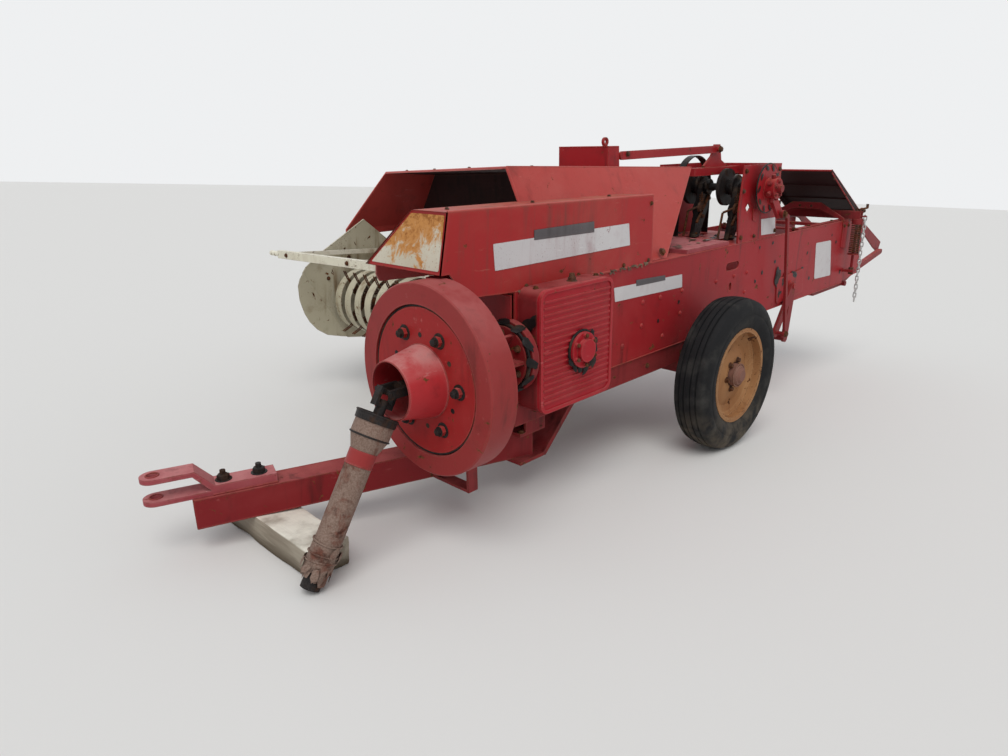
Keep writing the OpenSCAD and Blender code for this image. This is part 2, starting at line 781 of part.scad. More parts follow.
// A wire of six sides wound as a helix, with closed ends
module coil(r, wire_r, h, turns) {
    steps = 12 * turns;
    points = [for (i = [0 : steps]) let (a = 360 * i * turns / steps, z = wire_r + (h - 2 * wire_r) * i / steps)
        for (k = [0 : 5]) let (q = r - wire_r + wire_r * cos(60 * k))
            [q * cos(a), q * sin(a), z + wire_r * sin(60 * k)]];
    walls = [for (i = [0 : steps - 1], k = [0 : 5])
        [6 * i + k, 6 * i + (k + 1) % 6, 6 * (i + 1) + (k + 1) % 6, 6 * (i + 1) + k]];
    polyhedron(points, concat([[5, 4, 3, 2, 1, 0]], walls, [[for (k = [0 : 5]) 6 * steps + k]]), convexity = 20);
}

module tension_springs() {
    color(rust) parked() for (x = [rod_out, -case_out_w - rod_out])
        translate([x, beam_y, spring_foot_z])
            coil(spring_r, spring_wire_r, spring_head_z - spring_foot_z, spring_turns);
}

// A bent strap arches over the open chamber under the folded chute
arch_y = 3000;
arch_z = 987;
arch_w = 40;
arch_t = 8;
arch_flat = 145;
arch_side = [[-arch_flat - 8, arch_z - arch_w], [-41, case_top + 16], [-12, case_top + 4], [-case_t, case_top + seat],
             [seat, case_top + seat], [seat, case_top - 30], [5, case_top - 30], [5, case_top + 14],
             [-arch_flat, arch_z]];

module chamber_arch() {
    color(red) parked() translate([0, arch_y, 0]) rotate([90, 0, 0]) linear_extrude(height = arch_t) difference() {
        polygon(concat(arch_side, [for (i = [len(arch_side) - 1 : -1 : 0])
            [2 * case_mid_x - arch_side[i][0], arch_side[i][1]]]));
        for (x = [-276, -205]) translate([x, arch_z - arch_w / 2 - 3]) circle(8);
    }
}

hinge_y = 3300;
hinge_z = 921;
hinge_r = 10;
bracket_t = 8;
bracket_x = -case_t + seat;

module chute_brackets() {
    color(red) parked() for (x = [bracket_x, -case_out_w - bracket_x - bracket_t])
        difference() {
            side_plate(x, x + bracket_t) {
                translate([hinge_y - 40, case_top - 83]) square([70, hinge_z - case_top + 83]);
                translate([hinge_y, hinge_z]) circle(20);
            }
            bar_x(x - 1, x + bracket_t + 1, hinge_y, hinge_z, hinge_r + fit);
        }
}

// The chain hangs from a peg on the upper beam's end
chain_x = beam_end + 24;
chain_peg_z = beam_z + 18;
chain_peg_r = 4.5;
chain_links = 20;
chain_pitch = 26.8;
chain_wire = 7;
chain_half_in = 5;

// One flat link in the Y-Z plane about its middle
module chain_link() {
    straight = chain_pitch / 2 + 0.1 - chain_half_in;
    side_plate(-chain_wire / 2, chain_wire / 2) difference() {
        link_2d([0, -straight], [0, straight], chain_half_in + chain_wire, $fn = 24);
        link_2d([0, -straight], [0, straight], chain_half_in, $fn = 24);
    }
}

module chain() {
    color(steel) parked() for (i = [0 : chain_links - 1])
        translate([chain_x, beam_y, chain_peg_z + chain_peg_r + 0.1 - chain_pitch * (i + 0.5)])
            rotate(90 * (i % 2)) chain_link();
}

box_side_y = 1290;
twine_box_l = 380;
twine_box_w = 330;
twine_box_z = [640, 1060];

module twine_box() {
    color(red) parked() difference() {
        block([-case_out_w - twine_box_w, box_side_y, twine_box_z[0]],
              [-case_out_w - seat, box_side_y + twine_box_l, twine_box_z[1]]);
        block([-case_out_w - twine_box_w + 8, box_side_y + 8, twine_box_z[0] + 8],
              [-case_out_w - 8, box_side_y + twine_box_l - 8, twine_box_z[1] - 8]);
    }
}

chute_in = 14;
chute_t = 8;

module bale_chute() {
    color(grease) parked() {
        translate([0, hinge_y, hinge_z]) rotate([-chute_lean, 0, 0]) {
            block([-case_out_w + chute_in, -chute_l, -chute_t / 2], [-chute_in, -16, chute_t / 2]);
            block([-case_out_w + chute_in, -18, -6], [-chute_in, 0, 6]);
            // Side rails hang below the floor and taper to its end
            for (x = [-chute_in - chute_t, -case_out_w + chute_in])
                side_plate(x, x + chute_t)
                    polygon([[-16, 0], [-16, -42], [-147, -35], [-chute_l, -12], [-chute_l, 0]]);
        }
        bar_x(-case_out_w - bracket_x - bracket_t - 4, bracket_x + bracket_t + 4, hinge_y, hinge_z, hinge_r);
    }
}

block_end = 66;

module timber_block() {
    y0 = -757;
    level_y = axle_y + (y0 - axle_y + (tongue_z - wheel_z) * sin(park_tilt)) / cos(park_tilt);
    top = ground_z(level_y, tongue_z) - seat;
    color(timber) translate([-origin_x, -origin_y, 0])
        block([-block_end - block_l, y0, 0], [-block_end, y0 + block_w, top]);
}

// The rim's bead seats carry the tyre; the sides are bulged arcs and the tread is nearly flat
seat_r = rim_r - 12;
bead_w = 61;
bead_in = 36;
side_arc = [for (a = [-140 : 14 : 140])
    [rim_r + (tyre_r - rim_r) * (0.5 + 0.5 * sign(cos(a)) * pow(abs(cos(a)), 0.62)),
     tyre_w / 2 * sign(sin(a)) * pow(abs(sin(a)), 0.7)]];
tyre_profile = concat([[seat_r + seat, -bead_in], [seat_r + seat, -bead_w]], side_arc,
                      [[seat_r + seat, bead_w], [seat_r + seat, bead_in], [rim_r + 20, bead_in + 4],
                       [tyre_r - 40, tyre_w / 2 - 24], [tyre_r - 26, 0], [tyre_r - 40, 24 - tyre_w / 2],
                       [rim_r + 20, -bead_in - 4]]);

module wheel_at(x) {
    translate([x, axle_y, wheel_z]) rotate([0, 90, 0]) children();
}

module tyre() {
    rotate_extrude($fn = 96) polygon(tyre_profile);
}

rim_t = 4;
flange_z = bead_w + 2;
well_r = seat_r - 18;

module rim() {
    rotate_extrude($fn = 96) polygon([
        [rim_r + 4, flange_z], [rim_r + 4, flange_z + 5], [seat_r - rim_t, flange_z + 5], [seat_r - rim_t, 32],
        [well_r - rim_t, 20], [well_r - 34, 12], [hub_flange_r - 8, disc_z + 8], [hub_r + 6, disc_z + 8],
        [hub_r + 6, disc_z], [hub_flange_r, disc_z], [well_r - 34, 4], [well_r - rim_t, 10],
        [well_r - rim_t, -20], [seat_r - rim_t, -32], [seat_r - rim_t, -flange_z - 5], [rim_r + 4, -flange_z - 5],
        [rim_r + 4, -flange_z], [seat_r, -flange_z], [seat_r, -32], [well_r, -20], [well_r, 20], [seat_r, 32],
        [seat_r, flange_z]]);
}

module hub() {
    difference() {
        union() {
            translate([0, 0, -hub_l / 2]) cylinder(h = hub_l, r = hub_r);
            translate([0, 0, disc_z - seat - 10]) cylinder(h = 10, r = hub_flange_r);
        }
        translate([0, 0, -hub_l / 2 - 1]) cylinder(h = hub_l - hub_end + 1, r = spindle_r + fit);
    }
}

module tyre_left() { color(black) parked() wheel_at(left_wheel_x) tyre(); }
module rim_left() { color(rust) parked() wheel_at(left_wheel_x) rim(); }
module hub_left() { color(red) parked() wheel_at(left_wheel_x) hub(); }
module tyre_right() { color(black) parked() wheel_at(-right_wheel_x) mirror([0, 0, 1]) tyre(); }
module rim_right() { color(rust) parked() wheel_at(-right_wheel_x) mirror([0, 0, 1]) rim(); }
module hub_right() { color(red) parked() wheel_at(-right_wheel_x) mirror([0, 0, 1]) hub(); }

module flywheel_rim() {
    color(red) parked() translate([-shaft_x, -fly_front, shaft_z]) rotate([-90, 0, 0]) difference() {
        union() {
            rotate_extrude($fn = 128) polygon([
                [fly_bore_r, 0], [fly_r - 4, 0], [fly_r, 4], [fly_r, fly_w - 4], [fly_r - 4, fly_w],
                [60, fly_w], [60, fly_w - 18], [fly_bore_r, fly_w - 30]]);
            translate([0, 0, 40]) cylinder(h = fly_w - 40, r = 61);
        }
        translate([0, 0, -1]) cylinder(h = fly_w + 2, r = shaft_r + fit);
    }
}

module clutch_plate() {
    color(red) parked() translate([-shaft_x, -fly_front, shaft_z]) rotate([-90, 0, 0]) union() {
        difference() {
            translate([0, 0, 6]) cylinder(h = 33.7, r = plate_r, $fn = 96);
            translate([0, 0, -1]) cylinder(h = 60, r = shaft_r + 20);
        }
        for (a = [0 : 60 : 300])
            rotate(a) translate([165, 0, -10]) cylinder(h = 17, r = 17, $fn = 6);
    }
}

module safety_bell() {
    color(red) parked() translate([-shaft_x, -fly_front + 5.7, shaft_z]) rotate([90, 0, 0]) difference() {
        cylinder(h = bell_l, r1 = bell_foot_r, r2 = bell_mouth_r, $fn = 64);
        translate([0, 0, -1]) cylinder(h = bell_l + 2, r1 = bell_foot_r - 4, r2 = bell_mouth_r - 4, $fn = 64);
    }
}

joint_y = -fly_front - 136;
drive_l = (ground_z(joint_y, shaft_z) - tip_r * cos(drive_drop + park_tilt) - seat) / sin(drive_drop + park_tilt);

module drive_axis() {
    translate([-shaft_x, joint_y, shaft_z]) rotate([drive_drop, 0, 0]) rotate([90, 0, 0]) children();
}

half_shaft_r = 17;

module driveline_guard() {
    color("#6b5248") parked() drive_axis() difference() {
        union() {
            translate([0, 0, 80]) cylinder(h = 60, r = cup_r);
            translate([0, 0, 139]) cylinder(h = 50, r1 = cup_r, r2 = guard_r, $fn = 48);
            translate([0, 0, 188]) cylinder(h = drive_l - 188 - 62, r = guard_r);
        }
        translate([0, 0, 79]) cylinder(h = drive_l, r = guard_r - 5);
    }
    color("#6b5248") parked() drive_axis() for (z = [110, drive_l - 100]) translate([0, 0, z]) difference() {
        cylinder(h = 24, r = guard_r - 4);
        translate([0, 0, -1]) cylinder(h = 26, r = half_shaft_r + seat);
    }
}

module driveline_yoke() {
    color(grease) parked() {
        drive_axis() {
            translate([0, 0, 24]) cylinder(h = drive_l - 24, r = half_shaft_r);
            translate([0, 0, drive_l - 60]) cylinder(h = 60, r = tip_r);
            for (m = [0, 1]) mirror([0, m, 0]) block([-13, 24, -12], [13, 34, 40]);
            block([-13, -34, 34], [13, 34, 48]);
            rotate([90, 0, 0]) translate([0, 0, -30]) cylinder(h = 60, r = 9);
        }
        bar_x(-shaft_x - 40, -shaft_x + 40, joint_y, shaft_z, 9);
    }
}

fork_in = 26;
fork_out = 38;

module input_shaft() {
    color(steel) parked() difference() {
        union() {
            bar_y(joint_y + 46, 60, -shaft_x, shaft_z, shaft_r);
            for (x = [-fork_out, fork_in])
                block([-shaft_x + x, joint_y - 16, shaft_z - 14], [-shaft_x + x + fork_out - fork_in, joint_y + 60, shaft_z + 14]);
            block([-shaft_x - fork_out, joint_y + 46, shaft_z - 14], [-shaft_x + fork_out, joint_y + 60, shaft_z + 14]);
        }
        bar_x(-shaft_x - fork_out - 1, -shaft_x + fork_out + 1, joint_y, shaft_z, 9 + fit);
    }
}

module tongue_axis() {
    translate([-pivot_x, pivot_y, tongue_z]) rotate([0, 0, -tongue_swing]) children();
}

tongue_tail = 46;

module tongue_beam() {
    color(red) parked() tongue_axis() difference() {
        union() {
            difference() {
                block([-tongue_side / 2, -tongue_l, 0], [tongue_side / 2, tongue_tail, tongue_side]);
                block([-tongue_side / 2 + tongue_t, -tongue_l - 1, tongue_t],
                      [tongue_side / 2 - tongue_t, tongue_tail + 1, tongue_side - tongue_t]);
            }
            cylinder(h = tongue_side, r = pivot_r + 10);
        }
        translate([0, 0, -1]) cylinder(h = tongue_side + 2, r = pivot_r + fit);
    }
}

module hitch_clevis() {
    color(worn_red) parked() tongue_axis() translate([0, 0, tongue_side + seat]) difference() {
        union() {
            block([-strap_w / 2, -hitch_l, 0], [strap_w / 2, -tongue_l + 260, strap_t]);
            translate([0, -hitch_l, 0]) cylinder(h = strap_t, r = strap_w / 2);
            block([-strap_w / 2, -tongue_l + 60, strap_t - 1], [strap_w / 2, -tongue_l + 260, 2 * strap_t]);
            translate([0, -hitch_l, strap_t + strap_gap]) cylinder(h = strap_t, r = strap_w / 2);
            block([-strap_w / 2, -hitch_l, strap_t + strap_gap], [strap_w / 2, -tongue_l + 10, 2 * strap_t + strap_gap]);
            side_plate(-strap_w / 2, strap_w / 2) polygon([[-tongue_l + 9, strap_t + strap_gap], [-tongue_l + 9, 2 * strap_t + strap_gap],
                [-tongue_l + 18, 2 * strap_t + strap_gap], [-tongue_l + 72, 2 * strap_t], [-tongue_l + 60, strap_t - 1]]);
        }
        translate([0, -hitch_l, -1]) cylinder(h = 3 * strap_t + strap_gap, r = hitch_r);
    }
}

pickup_pivot = [1010, 436];
pivot_tube_r = 22;

shield_t = 6;
shield_rear = 954;

// The right shield's outline; its lower front is a lip bent outward along a fold
shield_fold = [[270, 728], [511, 334]];
shield_flat = [[676, 974], [379, 816], [291, 755], shield_fold[0], shield_fold[1], [616, 316], [shield_rear, 480],
               [shield_rear, 752]];
shield_lip = [shield_fold[0], [251, 698], [239, 657], [245, 578], [267, 504], [295, 448], [335, 400], [392, 361],
              [478, 340], shield_fold[1]];
lip_angle = 14;
fold_run = shield_fold[1] - shield_fold[0];
bead_over = 2;
left_shield = [[700, 780], [500, 720], [400, 620], [400, 500], [475, 360], [640, 300], [800, 330],
               [shield_rear, 500], [shield_rear, 700]];

module shield(x, outline) {
    side_plate(x, x + shield_t) difference() {
        union() {
            polygon(outline);
            link_2d([shield_rear - 30, 530], pickup_pivot, pivot_tube_r + 16);
        }
        circle_at(reel_y, reel_z, reel_shaft_r + fit);
        circle_at(pickup_pivot[0], pickup_pivot[1], pivot_tube_r + fit);
    }
}

module pickup_frame() {
    color(cream) parked() {
        shield(-pickup_right, shield_flat);
        translate([shield_t - pickup_right, shield_fold[0][0], shield_fold[0][1]])
            rotate(lip_angle, [0, fold_run[0], fold_run[1]])
                translate([0, -shield_fold[0][0], -shield_fold[0][1]])
                    side_plate(-shield_t, 0) polygon(shield_lip);
        // Rounded bead along the fold
        translate([shield_t / 2 - pickup_right, 0, 0])
            rod(concat(0, shield_fold[0] - bead_over * fold_run / norm(fold_run)),
                concat(0, shield_fold[1] + bead_over * fold_run / norm(fold_run)), shield_t / 2 + 0.6);
        shield(-pickup_left - shield_t, left_shield);
        // Back sheet joins the shields
        block([-pickup_right + shield_t - 1, shield_rear - 5, 540], [-pickup_left - shield_t + 1, shield_rear, 690]);
    }
}

band_first = pickup_left + 60;
band_n = floor((band_last - band_first) / band_pitch);
band_t = 4;
band_rear = 944;

module stripper_bands() {
    color(cream) parked() {
        for (i = [0 : band_n]) let (x = -band_first - i * band_pitch)
            side_plate(x - band_w / 2, x + band_w / 2) difference() {
                union() {
                    circle_at(reel_y, reel_z, band_r);
                    translate([reel_y, reel_z - band_r]) square([band_rear - reel_y, 60]);
                    translate([reel_y, reel_z + band_r - 100]) square([band_rear - reel_y, 100]);
                }
                circle_at(reel_y, reel_z, band_r - band_t);
                translate([reel_y, reel_z - band_r + band_t]) square([band_rear - reel_y + 1, 2 * (band_r - band_t)]);
            }
        // Lugs with the pins that the windguard's arms hang on
        for (x = guard_arm_x) {
            side_plate(x + arm_t + side_gap, x + arm_t + side_gap + 8)
                link_2d(guard_hinge, [guard_hinge[0] + 20, reel_z + band_r - 10], 11);
            bar_x(x - 3, x + arm_t + side_gap + 4, guard_hinge[0], guard_hinge[1], 6);
        }
        // Bars on which the bands are fastened
        for (z = [reel_z + band_r - band_t - 24, reel_z - band_r + band_t - 1])
            block([-pickup_right + shield_t + seat, band_rear - 34, z], [-pickup_left - shield_t - seat, band_rear - 4, z + 25]);
    }
}

module circle_at(y, z, r) {
    translate([y, z]) circle(r, $fn = 64);
}

reel_shaft_r = 20;
reel_bars = 4;
reel_bar_r = 120;
reel_bar_radius = 11;
tine_wire = 3.5;
tine_gap = 8;
tine_knee = [tine_r - 46, -8];
tine_tip = [sqrt(tine_r * tine_r - 26 * 26), -26];

module tined_reel() {
    color(steel) parked() {
        bar_x(-pickup_right - 4, -pickup_left + 4, reel_y, reel_z, reel_shaft_r);
        for (a = [0 : reel_bars - 1]) let (t = 45 + a * 360 / reel_bars) {
            bar_x(-band_last + 10, -band_first + 30, reel_y + reel_bar_r * cos(t), reel_z + reel_bar_r * sin(t), reel_bar_radius);
            // A pair of bent tines stands in each space between two bands
            for (i = [0 : band_n - 1], side = [-1, 1])
                translate([-band_first - (i + 0.5) * band_pitch + side * tine_gap, reel_y, reel_z])
                    rotate([t, 0, 0]) {
                        rod([0, reel_bar_r, 0], [0, tine_knee[0], tine_knee[1]], tine_wire, $fn = 8);
                        rod([0, tine_knee[0], tine_knee[1]], [0, tine_tip[0], tine_tip[1]], tine_wire, $fn = 8);
                    }
        }
        // Spiders carry the tine bars
        for (x = [-band_last + 16, -band_first - 6 * band_pitch, -band_first + 24])
            for (t = [45, 135])
                side_plate(x - 4, x + 4) translate([reel_y, reel_z]) rotate(t)
                    square([2 * reel_bar_r, 40], center = true);
    }
}

guard_hinge = [880, 790];
arm_t = 10;
guard_h = 39;
guard_depth = 26;
guard_rise = 1.5;
guard_arm_x = [-pickup_right + 25, -band_first - 6 * band_pitch - arm_t / 2, -band_first - arm_t / 2];
guard_nub_r = 13;

module windguard() {
    color(cream) parked() {
        // An angle bar that rises a little to its left end
        translate([-pickup_right - 30, guard_y, guard_z]) rotate([0, -guard_rise, 0]) {
            block([0, -5, -guard_h / 2], [pickup_right + 30 - guard_end, 0, guard_h / 2]);
            block([0, -5, guard_h / 2 - 5], [pickup_right + 30 - guard_end, guard_depth - 5, guard_h / 2]);
        }
        bar_x(-pickup_right - 112, -pickup_right - 20, guard_y + 6, guard_z, guard_nub_r);
        for (x = guard_arm_x) let (z = guard_z + (x + pickup_right + 30) * tan(guard_rise))
            side_plate(x, x + arm_t) difference() {
                link_2d([guard_y + 8, z], guard_hinge, 12);
                translate(guard_hinge) circle(6 + fit);
            }
    }
}

cross_tube = [2260, 290];
lift_pin = [2130, 345];

module needle_yoke() {
    color(red) parked() {
        for (x = [yoke_gap, -case_out_w - yoke_gap - yoke_t])
            side_plate(x, x + yoke_t) difference() {
                union() {
                    link_2d([yoke_y, yoke_z], lift_pin, 26);
                    link_2d([yoke_y, yoke_z], cross_tube, 26);
                }
                circle_at(yoke_y, yoke_z, yoke_pin_r + fit);
            }
        bar_x(-case_out_w - yoke_gap - yoke_t, yoke_gap + yoke_t, cross_tube[0], cross_tube[1], yoke_tube_r);
        bar_x(yoke_gap + yoke_t - 1, rod_x - seat, lift_pin[0], lift_pin[1], 11);
        needle_mid = [2120, 1091];
        needle_out = 828;
        for (x = needle_x)
            side_plate(x - needle_t / 2, x + needle_t / 2) intersection() {
                difference() {
                    translate(needle_mid) circle(needle_out, $fn = 180);
                    translate(needle_mid) circle(needle_out - 30, $fn = 180);
                }
                polygon([needle_mid, needle_mid + 1500 * [sin(10.6), -cos(10.6)],
                         needle_mid + 1500 * [-sin(38), -cos(38)]]);
            }
    }
}

crank_pin = [1955, 1005];

crank_pin_r = 11;
rod_bend = [2010, 988];
rod_half_w = 10.5;
rod_x = 66;
rod_t = 14;

module knotter_crank() {
    color(red) parked() difference() {
        union() {
            bar_x(6, 36, knot_y, knot_z, 34);
            bar_x(35, 41, knot_y, knot_z, crank_disc_r, $fn = 96);
            bar_x(40, 92, knot_y, knot_z, 50);
            side_plate(40, 58) link_2d([knot_y, knot_z], crank_pin, 24);
            bar_x(57, rod_x + rod_t + 4, crank_pin[0], crank_pin[1], crank_pin_r);
        }
        bar_x(5, 30 + seat, knot_y, knot_z, shaft2_r + fit);
    }
}

module lift_rod() {
    color(red) parked() side_plate(rod_x, rod_x + rod_t) difference() {
        union() {
            link_2d(crank_pin, rod_bend, rod_half_w);
            link_2d(rod_bend, lift_pin, rod_half_w);
            translate(crank_pin) circle(20);
            translate(lift_pin) circle(20);
        }
        for (p = [crank_pin, lift_pin]) translate(p) circle(crank_pin_r + fit);
    }
}

bale_case();
main_frame();
axle_beam();
gear_case();
gear_cover();
bearing_cap();
input_housing();
input_shaft();
drive_hood();
feeder_hood();
feeder_deck();
feeder_box();
lever_bar();
lever_stand();
knotter_stand();
knotter_rail();
knotter_shaft();
knotters();
hay_guides();
tension_rails_top();
tension_rails_bottom();
tail_plates();
tension_springs();
tension_beams();
chamber_arch();
chain();
twine_box();
chute_brackets();
timber_block();
tyre_left();
rim_left();
hub_left();
tyre_right();
rim_right();
hub_right();
flywheel_rim();
clutch_plate();
safety_bell();
driveline_guard();
driveline_yoke();
tongue_beam();
hitch_clevis();
pickup_frame();
stripper_bands();
tined_reel();
windguard();
needle_yoke();
knotter_crank();
lift_rod();
bale_chute();
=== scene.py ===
"""Dresses the square baler for its picture: faded paint, rust, rubber, timber, bolts, blank labels, chain and coils."""

import math
import random
from contextlib import contextmanager

import bmesh
import bpy
from bpy.props import FloatProperty, FloatVectorProperty, PointerProperty
from bpy.types import Operator, Panel, PropertyGroup
from mathutils import Matrix, Vector, noise


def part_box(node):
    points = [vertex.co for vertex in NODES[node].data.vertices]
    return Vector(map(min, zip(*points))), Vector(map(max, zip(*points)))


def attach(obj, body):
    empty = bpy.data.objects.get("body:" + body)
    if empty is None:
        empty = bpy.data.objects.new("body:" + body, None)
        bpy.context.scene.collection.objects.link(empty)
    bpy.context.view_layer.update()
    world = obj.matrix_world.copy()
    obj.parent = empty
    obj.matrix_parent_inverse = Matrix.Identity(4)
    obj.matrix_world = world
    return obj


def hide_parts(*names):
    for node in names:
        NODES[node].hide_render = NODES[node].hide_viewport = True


bl_info = {
    "name": "Square baler dressing",
    "version": (1, 0, 0),
    "blender": (4, 5, 0),
    "location": "View3D > Sidebar > Baler",
    "description": "Paint, wear, fasteners, chain, springs and timber for the square baler",
    "category": "Object",
}

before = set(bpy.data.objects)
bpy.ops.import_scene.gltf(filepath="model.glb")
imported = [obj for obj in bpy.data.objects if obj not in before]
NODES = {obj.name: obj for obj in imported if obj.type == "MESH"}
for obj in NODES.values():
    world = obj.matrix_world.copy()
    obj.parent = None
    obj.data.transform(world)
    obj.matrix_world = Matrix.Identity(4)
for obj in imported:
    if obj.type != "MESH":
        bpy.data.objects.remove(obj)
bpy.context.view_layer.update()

# The machine's own level coordinates, in metres: x from the bale case's left side outboard, y to the rear, z up
WHEEL = Vector((0.185, 1.267, 0.350))
AXLE = Vector((0, WHEEL.y, WHEEL.z))
NOSE_DOWN = math.radians(3.5)
WHEEL_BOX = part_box("tyre_left")
ORIGIN = WHEEL - (WHEEL_BOX[0] + WHEEL_BOX[1]) / 2
PARKED = (
    Matrix.Translation(-ORIGIN)
    @ Matrix.Translation(AXLE)
    @ Matrix.Rotation(NOSE_DOWN, 4, "X")
    @ Matrix.Translation(-AXLE)
)
OUT, UP = Vector((1, 0, 0)), Vector((0, 0, 1))
AHEAD = Vector((0, -1, 0))

# Lines of the machine in the same coordinates, in millimetres
CASE_RIGHT = -471
CASE_REAR = 3105
DRIVE_X, DRIVE_Z = -15, 662
CAP_Y, CAP_Z = 292, 655
FLYWHEEL_Y = -344
KNOTTER_Y, KNOTTER_Z = 1826, 1137
KNOTTERS_X = (-137, -334)
BEAM_Y, BEAM_Z = 3110, 886.3
CHUTE_Y, CHUTE_Z = 3300, 921
TONGUE_PIVOT = (-116, 180, 220)
REEL_Y, REEL_Z = 600, 546
BANDS_X = [-600 - 91 * i for i in range(13)]


# ---------------------------------------------------------------- settings
def colour(name, description, default):
    return FloatVectorProperty(name=name, description=description, subtype="COLOR", default=default)


class PaintSettings(PropertyGroup):
    red: colour("Red", "Red paint in the shade", (0.335, 0.014, 0.019))
    bright: colour("Bright red", "Red paint where it kept its colour", (0.430, 0.026, 0.027))
    pale: colour("Faded red", "Chalky, sun-faded red", (0.450, 0.100, 0.085))
    deep: colour("Stained red", "Red under dirt and old grease", (0.090, 0.014, 0.014))
    cream: colour("Cream", "Cream paint of the pickup", (0.520, 0.480, 0.350))
    rust: colour("Rust", "Rust on bare steel", (0.190, 0.070, 0.025))
    dust: colour("Dust", "Dry dust and chaff", (0.240, 0.165, 0.105))
    wear: FloatProperty(
        name="Wear", description="How much of the edges is worn through",
        default=0.5, min=0.0, max=1.0, subtype="FACTOR",
    )


class FastenerSettings(PropertyGroup):
    size: FloatProperty(name="Bolt size", description="Size of every bolt head over its own", default=1.0)
    washer: FloatProperty(name="Washer", description="Washer radius over head radius", default=1.35)


class StageSettings(PropertyGroup):
    focal: FloatProperty(
        name="Focal length", description="Focal length over the picture's width", default=711.7 / 1008
    )
    sky: FloatProperty(name="Sky light", description="Strength of the even light", default=0.64)
    sun: FloatProperty(name="Soft sun", description="Strength of the wide lamp", default=1.40)


# ---------------------------------------------------------------- finishes
class Recipe:
    """A material's node tree, written as short calls."""

    def __init__(self, name):
        old = bpy.data.materials.get(name)
        if old:
            bpy.data.materials.remove(old)
        self.material = bpy.data.materials.new(name)
        self.material.use_nodes = True
        self.tree = self.material.node_tree
        self.tree.nodes.clear()
        self.shader = self.add("ShaderNodeBsdfPrincipled", {"Specular IOR Level": 0.14})
        self.add("ShaderNodeOutputMaterial", {"Surface": self.shader.outputs[0]})
        self.place = self.add("ShaderNodeTexCoord").outputs["Object"]
        self.normal = self.add("ShaderNodeNewGeometry").outputs["Normal"]

    def put(self, socket, value):
        """Links a socket to another one, or gives it a colour or a value."""
        if isinstance(value, bpy.types.NodeSocket):
            self.tree.links.new(value, socket)
        else:
            socket.default_value = (*value, 1.0) if socket.type == "RGBA" else value

    def add(self, kind, inputs=None, **attributes):
        node = self.tree.nodes.new(kind)
        for key, value in attributes.items():
            setattr(node, key, value)
        for key, value in (inputs or {}).items():
            self.put(node.inputs[key], value)
        return node

    def stretched(self, *scale):
        return self.add("ShaderNodeMapping", {"Vector": self.place, "Scale": scale}).outputs[0]

    def noise(self, scale, detail=4.0, rough=0.55, where=None, warp=0.0):
        inputs = {"Scale": scale, "Detail": detail, "Roughness": rough, "Distortion": warp}
        return self.add("ShaderNodeTexNoise", {"Vector": where or self.place, **inputs}).outputs["Fac"]

    def span(self, value, low, high, to_low=0.0, to_high=1.0):
        inputs = {"Value": value, "From Min": low, "From Max": high, "To Min": to_low, "To Max": to_high}
        return self.add("ShaderNodeMapRange", inputs, interpolation_type="SMOOTHSTEP").outputs["Result"]

    def math(self, operation, a, b, clamp=False):
        return self.add("ShaderNodeMath", {0: a, 1: b}, operation=operation, use_clamp=clamp).outputs[0]

    def times(self, a, b, clamp=False):
        return self.math("MULTIPLY", a, b, clamp)

    def mix(self, factor, a, b):
        return self.add("ShaderNodeMix", {0: factor, 6: a, 7: b}, data_type="RGBA").outputs[2]

    def height(self):
        return self.add("ShaderNodeSeparateXYZ", {0: self.place}).outputs["Z"]

    def upward(self):
        return self.add("ShaderNodeSeparateXYZ", {0: self.normal}).outputs["Z"]

    def soft(self, radius):
        return self.add("ShaderNodeBevel", {"Radius": radius}, samples=4).outputs[0]

    def edge(self, radius, low, high):
        same = self.add("ShaderNodeVectorMath", {0: self.soft(radius), 1: self.normal}, operation="DOT_PRODUCT")
        return self.span(self.math("SUBTRACT", 1.0, same.outputs["Value"]), low, high)

    def bump(self, height, strength, distance, under=None):
        inputs = {"Height": height, "Strength": strength, "Distance": distance}
        if under is not None:
            inputs["Normal"] = under
        return self.add("ShaderNodeBump", inputs).outputs[0]

    def finish(self, tone, rough, metal=0.0, normal=None):
        for key, value in (("Base Color", tone), ("Roughness", rough), ("Metallic", metal)):
            self.put(self.shader.inputs[key], value)
        if normal is not None:
            self.put(self.shader.inputs["Normal"], normal)


def shade(tone, share):
    return [c * share for c in tone]


